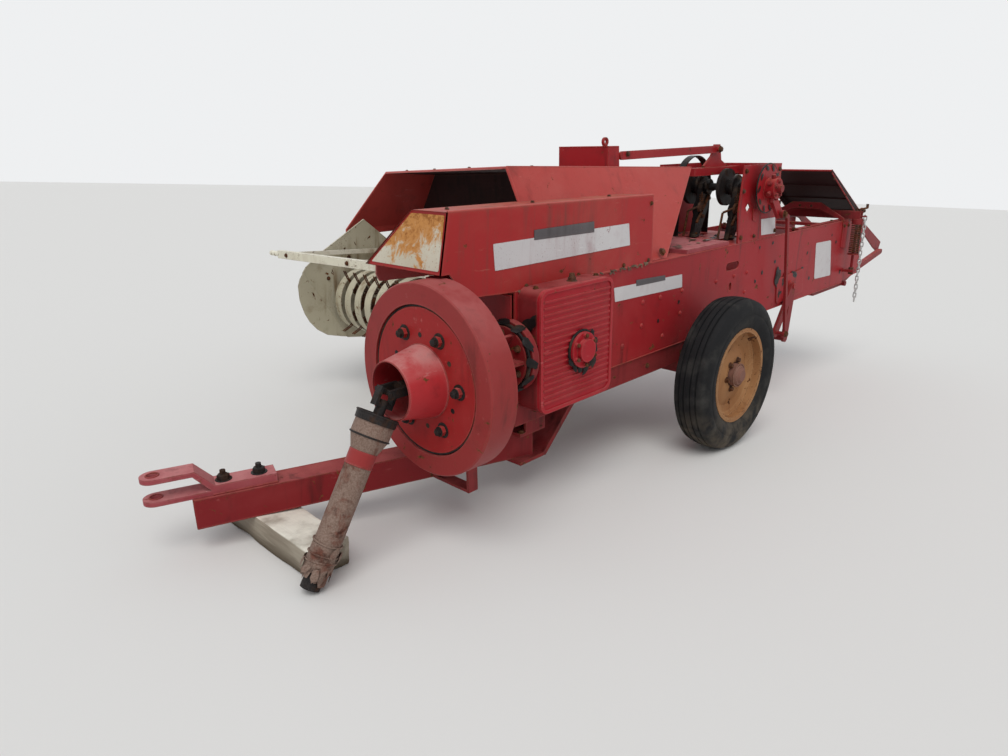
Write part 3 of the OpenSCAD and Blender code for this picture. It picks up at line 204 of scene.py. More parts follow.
def aged_paint(name, body, pale, deep, rust, fade, chips, runs, gloss, specks, top_fade):
    """Old enamel: chalky where it faces the sky, stained in runs, chipped along edges, with fine specks of rust."""
    r = Recipe(name)
    broad, patch = r.noise(1.6, 6, 0.62, warp=0.6), r.noise(9, 7, 0.64)
    fine = r.noise(150, 3, 0.5)
    on_top = r.times(r.span(r.upward(), 0.30, 0.95), r.span(patch, 0.30, 0.66, 0.15 * top_fade, top_fade))
    chalk = r.math("ADD", r.span(broad, 0.46, 0.74, 0, fade), on_top, clamp=True)
    tone = r.mix(r.span(r.noise(0.9, 3, 0.5), 0.35, 0.65, 0, 0.35), body, shade(body, 0.72))
    tone = r.mix(chalk, tone, pale)
    run = r.span(r.noise(1.0, 6, 0.6, r.stretched(24, 24, 2.4)), 0.47, 0.70)
    stain = r.times(run, r.span(r.noise(2.4, 5), 0.42, 0.60))
    tone = r.mix(r.times(stain, runs), tone, deep)
    tone = r.mix(r.span(patch, 0.54, 0.76, 0, 0.45), tone, deep)
    scratch = r.span(r.noise(1.0, 7, 0.7, r.stretched(60, 8, 60)), 0.60, 0.66)
    scuff = r.times(scratch, r.span(r.noise(5, 4), 0.50, 0.62))
    tone = r.mix(r.times(scuff, 0.55), tone, pale)
    dots = r.times(r.span(r.noise(190, 2, 0.6), 0.63, 0.69), r.span(r.noise(5, 4), 0.45, 0.62))
    worn = r.times(r.edge(0.006, 0.02, 0.30), r.span(r.noise(30, 5, 0.7), 0.42, 0.58))
    tone = r.mix(r.times(r.edge(0.012, 0.01, 0.25), 0.40), tone, pale)
    scab = r.span(r.noise(19, 8, 0.68, warp=0.6), 0.675 - 0.075 * chips, 0.700 - 0.075 * chips)
    bare = r.math("MAXIMUM", r.times(worn, chips * 1.6, clamp=True), r.times(dots, specks))
    bare = r.math("MAXIMUM", bare, scab, clamp=True)
    tone = r.mix(bare, tone, r.mix(r.span(r.noise(70, 4), 0.35, 0.65), rust, shade(rust, 0.35)))
    rough = r.math("ADD", r.span(chalk, 0, 1, gloss, gloss + 0.25), r.times(bare, 0.25), clamp=True)
    normal = r.bump(r.noise(3.0, 3, 0.4), 0.30, 0.012, r.soft(0.0025))
    normal = r.bump(fine, 0.10, 0.001, normal)
    normal = r.bump(bare, 0.5, -0.0008, normal)
    r.finish(tone, rough, 0.0, normal)


def rusting_cream(name, cream, orange, brown):
    """Cream enamel that rust eats from its upper edge, orange first and brown in the middle."""
    r = Recipe(name)
    patch = r.noise(11, 8, 0.68, warp=0.7)
    eaten = r.math("ADD", patch, r.span(r.height(), 0.90, 1.07, -0.07, 0.13))
    tone = r.mix(r.span(r.noise(4, 6, 0.6), 0.4, 0.7, 0, 0.5), cream, (0.46, 0.40, 0.28))
    tone = r.mix(r.span(eaten, 0.44, 0.54), tone, orange)
    middle = r.times(r.span(r.noise(60, 6, 0.7), 0.42, 0.62), r.span(eaten, 0.50, 0.64))
    tone = r.mix(middle, tone, brown)
    tone = r.mix(r.span(r.noise(170, 2, 0.6), 0.64, 0.69, 0, 0.8), tone, brown)
    normal = r.bump(r.span(eaten, 0.47, 0.56), 0.4, -0.0006, r.bump(r.noise(90, 5, 0.6), 0.3, 0.0008))
    r.finish(tone, r.span(eaten, 0.44, 0.56, 0.42, 0.85), 0.0, normal)


def bare_steel(name, light, dark, rust, amount, smooth, rough, metal):
    """Steel that lost its paint: brown scale over a dull grey."""
    r = Recipe(name)
    patch, fine = r.noise(16, 7, 0.66, warp=0.5), r.noise(190, 4, 0.6)
    tone = r.mix(r.span(fine, 0.35, 0.7), light, dark)
    scale = r.span(patch, 0.62 - 0.35 * amount, 0.80 - 0.30 * amount)
    tone = r.mix(scale, tone, r.mix(r.span(r.noise(60, 4), 0.4, 0.65), rust, shade(rust, 0.4)))
    normal = r.bump(r.math("ADD", fine, r.times(patch, 0.6)), 0.3, 0.0012)
    r.finish(tone, r.span(scale, 0, 1, smooth, rough), r.span(scale, 0, 1, metal, 0.0), normal)


def old_grease(name, body, dust):
    """Black lumps that dried to dust in places."""
    r = Recipe(name)
    lumps = r.noise(38, 6, 0.62, warp=0.7)
    dry = r.span(r.noise(9, 6, 0.6), 0.48, 0.70)
    r.finish(r.mix(dry, body, dust), r.span(dry, 0, 1, 0.33, 0.85), 0.0, r.bump(lumps, 0.7, 0.004))


def weathered_rubber(name):
    """Greyed rubber with fine cracks, brown with soil near the ground."""
    r = Recipe(name)
    fine, patch = r.noise(240, 4, 0.6), r.noise(9, 6, 0.6)
    tone = r.mix(r.span(patch, 0.46, 0.76), (0.012, 0.012, 0.013), (0.045, 0.043, 0.040))
    soil = r.times(r.span(r.height(), 0.02, 0.30, 0.55, 0.0), r.span(r.noise(14, 6), 0.35, 0.65))
    tone = r.mix(soil, tone, (0.17, 0.135, 0.095))
    cells = r.add("ShaderNodeTexVoronoi", {"Vector": r.place, "Scale": 95}, feature="DISTANCE_TO_EDGE")
    cracks = r.span(cells.outputs["Distance"], 0.0, 0.05)
    normal = r.bump(cracks, 0.15, 0.0008, r.bump(fine, 0.25, 0.0008))
    r.finish(tone, r.span(patch, 0.3, 0.7, 0.62, 0.88), 0.0, normal)


def grey_timber(name):
    """Grained timber, bleached on top and darker towards its foot."""
    r = Recipe(name)
    grain = r.noise(1.6, 9, 0.68, r.stretched(2.2, 34, 34), 1.2)
    wave = {"Vector": r.stretched(0.25, 8, 8), "Scale": 2.4, "Distortion": 5.0, "Detail": 4.0, "Detail Scale": 1.5}
    rings = r.add("ShaderNodeTexWave", wave).outputs["Fac"]
    tone = r.mix(grain, (0.20, 0.165, 0.12), (0.47, 0.42, 0.34))
    tone = r.mix(r.span(rings, 0.55, 0.9, 0, 0.35), tone, (0.12, 0.09, 0.06))
    bleached = r.times(r.span(r.upward(), 0.4, 0.95), r.span(r.noise(7, 5), 0.3, 0.6))
    tone = r.mix(bleached, tone, (0.80, 0.77, 0.67))
    tone = r.mix(r.span(r.height(), 0.0, 0.06, 0.85, 0.0), tone, (0.06, 0.042, 0.024))
    r.finish(tone, 0.86, 0.0, r.bump(grain, 0.65, 0.003))


def make_finishes():
    p = bpy.context.scene.baler_paint
    red, bright, pale, deep, cream, rust = (tuple(c) for c in (p.red, p.bright, p.pale, p.deep, p.cream, p.rust))
    cream_rust, label_stain = (0.15, 0.052, 0.018), (0.30, 0.12, 0.11)
    # Body, faded and stained colour, rust; then how much fades, chips, runs, roughness, specks, fading on top
    paints = {
        "side_red": (red, pale, deep, rust, 0.22, 0.55, 0.85, 0.40, 0.35, 0.80),
        "sheet_red": (
            shade(bright, 0.92), (0.40, 0.125, 0.090), (0.17, 0.045, 0.035), rust, 0.30, 0.35, 0.70, 0.38, 0.30, 0.95,
        ),
        "feeder_red": (
            (0.450, 0.058, 0.050), (0.52, 0.17, 0.145), (0.16, 0.030, 0.026), rust, 0.30, 0.30, 0.30, 0.44, 0.50, 0.60,
        ),
        "cover_red": ((0.400, 0.010, 0.020), (0.50, 0.11, 0.11), deep, rust, 0.25, 0.30, 0.25, 0.34, 0.15, 0.70),
        "dull_red": (
            (0.225, 0.016, 0.019), (0.36, 0.085, 0.080), (0.050, 0.014, 0.013), rust,
            0.30, 0.70, 0.70, 0.46, 0.55, 0.85,
        ),
        "wheel_red": (
            (0.295, 0.034, 0.033), (0.40, 0.110, 0.105), (0.085, 0.022, 0.018), rust,
            0.35, 0.50, 0.55, 0.42, 0.55, 0.80,
        ),
        "bell_red": ((0.440, 0.030, 0.035), (0.58, 0.29, 0.27), deep, rust, 0.95, 0.40, 0.25, 0.34, 0.30, 0.80),
        "plate_red": ((0.340, 0.020, 0.020), (0.46, 0.11, 0.10), deep, rust, 0.40, 0.55, 0.45, 0.40, 0.50, 0.80),
        "pink_red": ((0.330, 0.055, 0.066), (0.50, 0.19, 0.19), deep, rust, 0.45, 0.60, 0.35, 0.50, 0.35, 0.90),
        "shade_red": (
            (0.030, 0.010, 0.010), (0.08, 0.03, 0.027), (0.008, 0.006, 0.006), shade(rust, 0.30),
            0.20, 0.35, 0.50, 0.62, 0.40, 0.20,
        ),
        "bar_cream": (
            (0.72, 0.68, 0.54), (0.86, 0.83, 0.72), (0.30, 0.20, 0.11), cream_rust, 0.45, 0.45, 0.60, 0.46, 0.70, 0.70,
        ),
        "cream": (cream, (0.66, 0.63, 0.51), (0.20, 0.13, 0.065), cream_rust, 0.35, 0.80, 0.95, 0.46, 1.00, 0.40),
        "label_white": (
            (0.62, 0.59, 0.59), (0.74, 0.73, 0.72), (0.36, 0.22, 0.23), label_stain, 0.35, 0.25, 0.45, 0.40, 0.45, 0.20,
        ),
        "label_grey": (
            (0.105, 0.095, 0.100), (0.22, 0.19, 0.19), (0.045, 0.038, 0.038), label_stain,
            0.35, 0.20, 0.40, 0.45, 0.40, 0.20,
        ),
        "rim_ochre": (
            (0.330, 0.150, 0.060), (0.46, 0.27, 0.13), (0.14, 0.055, 0.025), (0.13, 0.050, 0.022),
            0.50, 0.90, 0.65, 0.60, 0.90, 0.20,
        ),
        "hub_maroon": (
            (0.210, 0.095, 0.070), (0.34, 0.20, 0.15), (0.06, 0.035, 0.028), rust, 0.50, 0.70, 0.40, 0.62, 0.50, 0.30,
        ),
    }
    for name, (body, faded, stained, eaten, fade, chips, runs, gloss, specks, top_fade) in paints.items():
        chips, specks = chips * p.wear * 2, specks * p.wear * 2
        aged_paint(name, body, faded, stained, eaten, fade, chips, runs, gloss, specks, top_fade)
    rusting_cream("rust_cream", (0.60, 0.56, 0.46), (0.52, 0.24, 0.075), (0.28, 0.10, 0.028))
    # Light and dark steel, rust, how much of it, roughness of the steel and of the rust, metal
    steels = {
        "shaft_brown": ((0.250, 0.175, 0.140), (0.165, 0.105, 0.080), (0.150, 0.060, 0.042), 0.38, 0.60, 0.90, 0.05),
        "shaft_dark": ((0.030, 0.026, 0.025), (0.014, 0.012, 0.012), (0.050, 0.026, 0.017), 0.45, 0.50, 0.90, 0.10),
        "rusty_steel": ((0.120, 0.068, 0.048), (0.060, 0.032, 0.022), (0.130, 0.048, 0.020), 0.70, 0.60, 0.90, 0.20),
        "galvanised": ((0.62, 0.62, 0.61), (0.42, 0.42, 0.41), (0.22, 0.16, 0.11), 0.30, 0.38, 0.75, 0.70),
    }
    for name, values in steels.items():
        bare_steel(name, *values)
    old_grease("grease", (0.012, 0.010, 0.010), (0.075, 0.050, 0.032))
    old_grease("dry_dirt", (0.085, 0.055, 0.035), tuple(p.dust))
    weathered_rubber("rubber")
    grey_timber("timber")


NODES_IN = {
    "side_red": "bale_case feeder_box lever_bar lever_stand knotter_stand knotter_rail tail_plates twine_box"
    " knotter_crank",
    "dull_red": "main_frame axle_beam gear_case input_housing feeder_deck tension_rails_top tension_rails_bottom"
    " tension_beams chamber_arch chute_brackets tongue_beam needle_yoke lift_rod",
    "cover_red": "gear_cover bearing_cap",
    "sheet_red": "drive_hood",
    "feeder_red": "feeder_hood",
    "pink_red": "hay_guides hitch_clevis",
    "wheel_red": "flywheel_rim",
    "plate_red": "clutch_plate",
    "bell_red": "safety_bell",
    "shade_red": "bale_chute",
    "cream": "pickup_frame stripper_bands",
    "bar_cream": "windguard",
    "rim_ochre": "rim_left rim_right",
    "hub_maroon": "hub_left hub_right",
    "shaft_brown": "driveline_guard",
    "shaft_dark": "input_shaft knotter_shaft driveline_yoke",
    "rusty_steel": "tension_springs tined_reel",
    "galvanised": "chain",
    "grease": "knotters",
    "rubber": "tyre_left tyre_right",
    "timber": "timber_block",
}
FINISH_OF = {node: finish for finish, nodes in NODES_IN.items() for node in nodes.split()}


class BALER_OT_paint(Operator):
    """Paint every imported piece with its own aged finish"""

    bl_idname = "baler.paint"
    bl_label = "Paint the pieces"

    def execute(self, context):
        make_finishes()
        for name, node in NODES.items():
            node.data.materials.clear()
            node.data.materials.append(bpy.data.materials[FINISH_OF[name]])
        return {"FINISHED"}


# ---------------------------------------------------------------- mesh helpers
@contextmanager
def piece(name, finish, like, body="baler", angle=35, hides=(), level=True):
    """Keeps what is built inside it, in machine coordinates, as a piece on a body; the node given as like is not used.
    """
    bm = bmesh.new()
    yield bm
    if level:
        bmesh.ops.transform(bm, matrix=PARKED, verts=bm.verts)
    bmesh.ops.recalc_face_normals(bm, faces=bm.faces)
    mesh = bpy.data.meshes.new(name)
    bm.to_mesh(mesh)
    bm.free()
    mesh.shade_smooth()
    mesh.set_sharp_from_angle(angle=math.radians(angle))
    mesh.materials.append(bpy.data.materials[finish])
    made = bpy.data.objects.new(name, mesh)
    bpy.context.scene.collection.objects.link(made)
    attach(made, body)
    if hides:
        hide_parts(*hides)


def rng(name):
    return random.Random("baler " + name)


def mm(*v):
    return Vector(v) * 0.001


def angles(count, first=0.0, step=None):
    """Angles in radians of places around a circle, from degrees, each with its number."""
    step = 360 / count if step is None else step
    return [(k, math.radians(first + step * k)) for k in range(count)]


def about_x(x, y, z, radius, angle):
    """A place on a circle that looks outboard, from millimetres."""
    return mm(x, y + radius * math.cos(angle), z + radius * math.sin(angle))


def about_y(x, y, z, radius, angle):
    """A place on a circle that looks ahead, from millimetres."""
    return mm(x + radius * math.cos(angle), y, z + radius * math.sin(angle))


def facing(at, normal):
    return Matrix.Translation(Vector(at)) @ UP.rotation_difference(Vector(normal)).to_matrix().to_4x4()


def new_verts(bm, before):
    return [v for v in bm.verts if v not in before]


def edges_of(ring):
    """The edges that join a ring's own vertices, in a fixed order."""
    inside = set(ring)
    touching = dict.fromkeys(e for v in ring for e in v.link_edges)
    return [e for e in touching if all(v in inside for v in e.verts)]


def add_cone(bm, at, normal, foot, top, depth, segments=12, turn=0.0):
    """A round or many-sided stub centred on a place, from its foot to its top."""
    m = facing(at, normal) @ Matrix.Rotation(turn, 4, "Z")
    bmesh.ops.create_cone(bm, cap_ends=True, segments=segments, radius1=foot, radius2=top, depth=depth, matrix=m)


def add_bolt(bm, at, radius, height, normal=OUT, turn=0.0, washer=True):
    """A hexagon head on its washer, standing on a surface."""
    f = bpy.context.scene.baler_fasteners
    radius, height = radius * f.size, height * f.size
    normal = Vector(normal).normalized()
    sunk, base = 0.0004, 0.0
    if washer:
        wide = radius * f.washer
        add_cone(bm, at + normal * 0.0009, normal, wide, wide * 0.96, 0.0022, 16, turn)
        base = 0.0018
    head, crown = at + normal * (base + height / 2 - sunk), at + normal * (base + height * 1.08 - sunk)
    add_cone(bm, head, normal, radius, radius, height, 6, turn)
    add_cone(bm, crown, normal, radius * 0.98, radius * 0.72, height * 0.18, 6, turn)


def add_bolts(bm, places, radius, height, normal=OUT):
    """Bolts at places in millimetres, each turned by its place along the machine."""
    for at in places:
        add_bolt(bm, mm(*at), radius, height, normal, at[1])


def add_box(bm, low, high):
    m = Matrix.Translation((low + high) / 2) @ Matrix.Diagonal((*(high - low), 1))
    bmesh.ops.create_cube(bm, size=1, matrix=m)


def add_rod(bm, a, b, radius, segments=12):
    add_cone(bm, (a + b) / 2, b - a, radius, radius, (b - a).length, segments)


def add_edging(bm, way, radius, segments=12, place=Matrix()):
    """Round edging along points in millimetres."""
    points = [place @ mm(*p) for p in way]
    for a, b in zip(points, points[1:]):
        add_rod(bm, a, b, radius, segments)


def add_sheet(bm, corners, normal, thick, corner=0.0, ring=0.0):
    """A thin sheet over flat corners, standing up along its normal, with round corners or only as a border."""
    before = set(bm.faces)

    def new_faces():
        return [f for f in bm.faces if f not in before]

    verts = [bm.verts.new(c) for c in corners]
    bm.faces.new(verts)
    if corner:
        bmesh.ops.bevel(bm, geom=verts, offset=corner, segments=4, profile=0.5, affect="VERTICES", material=-1)
    faces = new_faces()
    if ring:
        bmesh.ops.inset_region(bm, faces=faces, thickness=ring, use_even_offset=True, use_boundary=True)
        middle = max(new_faces(), key=lambda f: f.calc_area())
        bmesh.ops.delete(bm, geom=[middle], context="FACES")
        faces = new_faces()
    grown = bmesh.ops.extrude_face_region(bm, geom=faces, use_keep_orig=True)["geom"]
    moved = [g for g in grown if isinstance(g, bmesh.types.BMVert)]
    bmesh.ops.translate(bm, vec=Vector(normal).normalized() * thick, verts=moved)


def add_plate(bm, outline, x, thick, corner=0.0, ring=0.0):
    """A sheet that lies flat on the machine's side over an outline of (along, up), in millimetres."""
    add_sheet(bm, [mm(x, *p) for p in outline], OUT, thick * 0.001, corner, ring)


def add_blot(bm, at, normal, radius, thick, name, stretch=(1, 1), sides=26):
    """A lump of old grease or dirt with an uneven outline, low at its rim."""
    before = set(bm.verts)
    luck = rng(name)
    m = facing(at, normal) @ Matrix.Rotation(luck.uniform(0, 6.3), 4, "Z") @ Matrix.Diagonal((*stretch, 1, 1))
    verts = bmesh.ops.create_circle(bm, cap_ends=True, segments=sides, radius=radius)["verts"]
    face = verts[0].link_faces[0]
    shift = Vector((luck.uniform(0, 50), 0, 0))
    for v in verts:
        v.co *= 0.88 + 0.34 * noise.noise(v.co * (1.5 / radius) + shift)
    bmesh.ops.inset_region(bm, faces=[face], thickness=radius * 0.16, depth=thick)
    bmesh.ops.poke(bm, faces=[face], offset=thick * 0.6)
    bmesh.ops.transform(bm, matrix=m, verts=new_verts(bm, before))


def add_ring(bm, at, normal, radius, wire, segments=40, sides=8, squash=1.0):
    """A closed ring of round wire about an axis."""
    before = set(bm.verts)
    upright = Matrix.Translation((radius, 0, 0)) @ Matrix.Rotation(math.pi / 2, 4, "X")
    start = bmesh.ops.create_circle(bm, segments=sides, radius=wire, matrix=upright)["verts"]
    bmesh.ops.spin(
        bm, geom=start + edges_of(start), cent=(0, 0, 0), axis=UP, angle=2 * math.pi, steps=segments, use_merge=True
    )
    verts = new_verts(bm, before)
    bmesh.ops.scale(bm, vec=(1, 1, squash), verts=verts)
    bmesh.ops.transform(bm, matrix=facing(at, normal), verts=verts)


def add_sleeve(bm, a, b, r0, r1, wall, segments=32, jag=0.0, name=""):
    """An open tube with a wall between two points; its far edge may be torn."""
    luck = rng(name)
    near, far = [], []
    for inset in (0.0, wall):
        low = bmesh.ops.create_circle(bm, segments=segments, radius=r0 - inset)["verts"]
        grown = bmesh.ops.extrude_edge_only(bm, edges=edges_of(low))["geom"]
        top = [g for g in grown if isinstance(g, bmesh.types.BMVert)]
        widen = (r1 - inset) / (r0 - inset)
        bmesh.ops.scale(bm, vec=(widen, widen, 1), verts=top)
        bmesh.ops.translate(bm, vec=(0, 0, (b - a).length), verts=top)
        near.append(low)
        far.append(top)
    if jag:
        cuts = [luck.uniform(-1, 0.5) for _ in range(segments)]
        for v in far[0] + far[1]:
            k = round(math.atan2(v.co.y, v.co.x) / (2 * math.pi) * segments) % segments
            v.co.z += jag * cuts[k]
    for rings in (near, far):
        bmesh.ops.bridge_loops(bm, edges=edges_of(rings[0]) + edges_of(rings[1]))
    verts = near[0] + near[1] + far[0] + far[1]
    bmesh.ops.transform(bm, matrix=facing(a, b - a), verts=verts)


# ---------------------------------------------------------------- pieces
class BALER_OT_labels(Operator):
    """Blank label strips, tabs and plates on the hood, the case and the knotter stand"""

    bl_idname = "baler.labels"
    bl_label = "Blank labels"

    def execute(self, context):
        with piece("label_strips", "label_white", "windguard") as bm:
            add_plate(bm, [(-38, 1056), (714, 1059), (726, 972), (-32, 968)], 0.2, 1.0, 0.004)
            add_plate(bm, [(628, 814), (1136, 801), (1143, 742), (638, 756)], 0.2, 1.0, 0.003)
            add_plate(bm, [(2611, 786), (2837, 780), (2894, 559), (2646, 569)], 0.2, 1.2, 0.014)
            add_plate(bm, [(1865, 983), (2025, 980), (2045, 896), (1883, 901)], 0.2, 1.4, 0.003)
        with piece("label_tabs", "label_grey", "knotters") as bm:
            add_plate(bm, [(158, 1083), (489, 1085), (491, 1045), (158, 1049)], 1.4, 0.8, 0.002)
            add_plate(bm, [(779, 825), (996, 816), (999, 794), (781, 799)], 1.4, 0.8, 0.002)
        return {"FINISHED"}


class BALER_OT_hood(Operator):
    """The drive hood's cream front panel in its folded lip, seams and fasteners"""

    bl_idname = "baler.hood"
    bl_label = "Drive hood"

    def execute(self, context):
        normal = Vector((0, -0.98, 0.199))
        top_z, lip = 1170, -3

        def on_front(share_up, share_in, out):
            y, z = -262 + 38 * share_up, 982 + 187 * share_up
            far = -172 - (top_z - z) * 1.131
            return mm(share_in * far, y, z) + normal * out * 0.001

        with piece("hood_front_panel", "rust_cream", "windguard") as bm:
            corners = ((0.06, 0.035), (0.06, 0.965), (0.95, 0.94), (0.95, 0.07))
            add_sheet(bm, [on_front(*c, 0.6) for c in corners], normal, 0.0012, 0.006)
        with piece("hood_front_lip", "feeder_red", "drive_hood") as bm:
            corners = ((0.0, 0.0), (0.0, 1.0), (1.0, 1.0), (1.0, 0.0))
            add_sheet(bm, [on_front(*c, 0.3) for c in corners], normal, 0.007, 0.0, 0.0065)
            add_edging(bm, ((lip, -224, top_z), (lip, 880, 1158)), 0.0036)
            add_edging(bm, ((lip, 62, 885.5), (lip, 888, 885.5)), 0.0036)
        with piece("hood_bolts", "rusty_steel", "knotter_shaft") as bm:
            on_side = ((118, 897), (402, 897), (688, 897), (862, 897), (866, 1126))
            add_bolts(bm, [(0.2, *p) for p in on_side], 0.0065, 0.0045)
            on_top = [(-90, y, top_z + 0.4 - (y + 224) * 0.0108) for y in (-150, 250, 700)]
            add_bolts(bm, on_top, 0.006, 0.004, UP)
        return {"FINISHED"}


class BALER_OT_feeder(Operator):
    """The feeder hood's inside as a near-black sheet of painted shade, its rolled lips and corner bolts"""

    bl_idname = "baler.feeder"
    bl_label = "Feeder hood"

    def execute(self, context):
        # A near-black sheet along the inside of the feeder hood: painted shade
        with piece("feeder_painted_shade", "shade_red", "bale_chute") as bm:
            inner = (
                (-229, 260, 1276), (-229, 1528, 1234), (-1691, 817, 1218), (-1691, 1157, 1199), (-1842, 625, 918),
                (-1842, 1141, 918), (-1842, 625, 884), (-1842, 1141, 884), (-29, 260, 886), (-29, 1027, 886),
            )
            for p in inner:
                bm.verts.new(mm(*p))
            bmesh.ops.convex_hull(bm, input=bm.verts)
            bmesh.ops.recalc_face_normals(bm, faces=bm.faces)
            away = [f for f in bm.faces if f.normal.z < -0.7 or f.normal.y < -0.25 or abs(f.normal.x) > 0.6]
            bmesh.ops.delete(bm, geom=away, context="FACES")
            bmesh.ops.reverse_faces(bm, faces=bm.faces)
            bmesh.ops.solidify(bm, geom=list(bm.faces), thickness=-0.0006)

        with piece("feeder_lips", "feeder_red", "feeder_hood") as bm:
            lip = 0.0052
            mouth = ((-23, 256, 884), (-222, 256, 1281), (-1698, 812, 1223), (-1847, 621, 918), (-1847, 621, 886))
            add_edging(bm, mouth, lip)
            for p in mouth[1:-1]:
                bmesh.ops.create_uvsphere(
                    bm, u_segments=12, v_segments=8, radius=lip, matrix=Matrix.Translation(mm(*p))
                )
            add_edging(bm, ((-222, 256, 1284.5), (-222, 1535, 1242.5)), 0.003, 10)
            add_edging(bm, ((-222, 1535, 1242), (-1698, 1165, 1207)), 0.003, 10)

        with piece("feeder_bolts", "rusty_steel", "knotter_shaft") as bm:
            radius, height = 0.0062, 0.004
            side = Vector((0.894, 0, 0.447))
            add_bolt(bm, mm(-19, 991, 914) + side * 0.001, 0.013, 0.01, side, 0.3)
            for y in (330, 560, 800):
                add_bolt(bm, mm(-60, y, 965) + side * 0.001, radius, height, side, y)
            add_bolts(bm, [(-248, y, 1283.3 - (y - 254) * 0.0327) for y in (420, 900, 1380)], radius, height, UP)
            for x in (-600, -1000, -1400):
                share = (x + 220) / -1480
                at = mm(x, 280 + 557 * share, 1284.2 - 58 * share)
                add_bolt(bm, at, radius, height, (0.04, 0.03, 1), x)
        with piece("cover_edges", "side_red", "feeder_box") as bm:
            top = 1345.4
            for a, b in (((-511, 891), (-242, 891)), ((-241, 892), (-241, 963)), ((-511, 964), (-242, 964))):
                add_edging(bm, ((*a, top), (*b, top)), 0.0028, 8)
            for x in (-264, -254):
                add_ring(bm, mm(x, 890, 1365.6), OUT, 0.0168, 0.0012, 24, 6)
        return {"FINISHED"}


class BALER_OT_case(Operator):
    """Rivets, holes drawn as dark discs of painted shade, folded edges, grease and plates of the bale case"""

    bl_idname = "baler.case"
    bl_label = "Bale case"

    def execute(self, context):
        with piece("case_rivets", "side_red", "bale_case") as bm:
            rivets = (
                (836, 723), (968, 724), (1145, 726), (1138, 624), (833, 622), (1452, 625), (1453, 722), (1629, 725),
                (1765, 725), (1755, 626), (1300, 560), (700, 560), (1000, 545),
            )
            wide = 0.0115
            for y, z in rivets:
                add_cone(bm, mm(2.0, y, z), OUT, wide, 0.0085, 0.004, 14)
                add_cone(bm, mm(5.4, y, z), OUT, 0.0085, 0.0035, 0.003, 14)
            for y, z in rivets:
                add_cone(bm, mm(CASE_RIGHT - 3, y, z), -OUT, wide, 0.0045, 0.006, 14)
            for front, z in ((500, 881), (70, 484)):
                for x in (0.6, CASE_RIGHT - 0.6):
                    add_edging(bm, ((x, front, z), (x, CASE_REAR, z)), 0.0024, 8)
            add_plate(bm, [(2120, 640), (2460, 660), (2480, 520), (2140, 500)], 0.2, 5.0, 0.02)
            add_plate(bm, [(3000, 872), (3096, 872), (3096, 700), (3000, 720)], 0.2, 4.0, 0.006)
        with piece("case_grease_and_hole_shade", "grease", "knotters") as bm:
            # Dark discs where the side has holes: painted shade, drawn in grease colour
            hole_shades = (
                (961, 620, 7), (1122, 678, 7), (1882, 838, 7), (2031, 846, 8), (2081, 742, 8), (1936, 702, 9),
                (1865, 665, 8), (2451, 654, 12), (2564, 587, 10), (2921, 760, 8), (2843, 810, 6), (2722, 874, 4),
                (2500, 740, 8), (3050, 560, 10),
            )
            for y, z, r in hole_shades:
                add_blot(bm, mm(0.2, y, z), OUT, r * 0.0013, 0.0008, f"hole {y}", (1, 1.25), 16)
            smears = (
                (2126, 655, 46, (1.25, 0.9)), (2205, 622, 34, (1.5, 0.7)), (2345, 634, 36, (1.5, 0.55)),
                (2160, 552, 24, (0.7, 1.8)),
            )
            for y, z, r, (wide, high) in smears:
                add_blot(bm, mm(0.4, y, z), OUT, r * 0.001, 0.004, f"grease {y}", (wide, high))
                add_blot(bm, mm(2, y + 9, z + 6), OUT, r * 0.0006, 0.0042, f"lump {y}", (high, wide))
        with piece("dry_dirt", "dry_dirt", "timber_block") as bm:
            luck = rng("roof dirt")
            for i in range(46):
                x, y = luck.uniform(-430, -60), luck.uniform(1190, 1630)
                at = mm(x, y, 901.2 if y < 1560 else 883.4)
                normal = (luck.uniform(-0.1, 0.1), luck.uniform(-0.1, 0.1), 1)
                radius, thick = luck.uniform(0.008, 0.03), luck.uniform(0.002, 0.008)
                add_blot(bm, at, normal, radius, thick, f"dirt {i}", (1, luck.uniform(0.5, 1)), 12)
            for i in range(40):
                y = luck.uniform(70, 860)
                at = mm(luck.uniform(0.5, 3), y, luck.uniform(878, 886))
                add_blot(bm, at, (1, 0, 0.5), luck.uniform(0.004, 0.011), 0.0022, f"ledge {i}", (1.6, 0.6), 10)
        return {"FINISHED"}


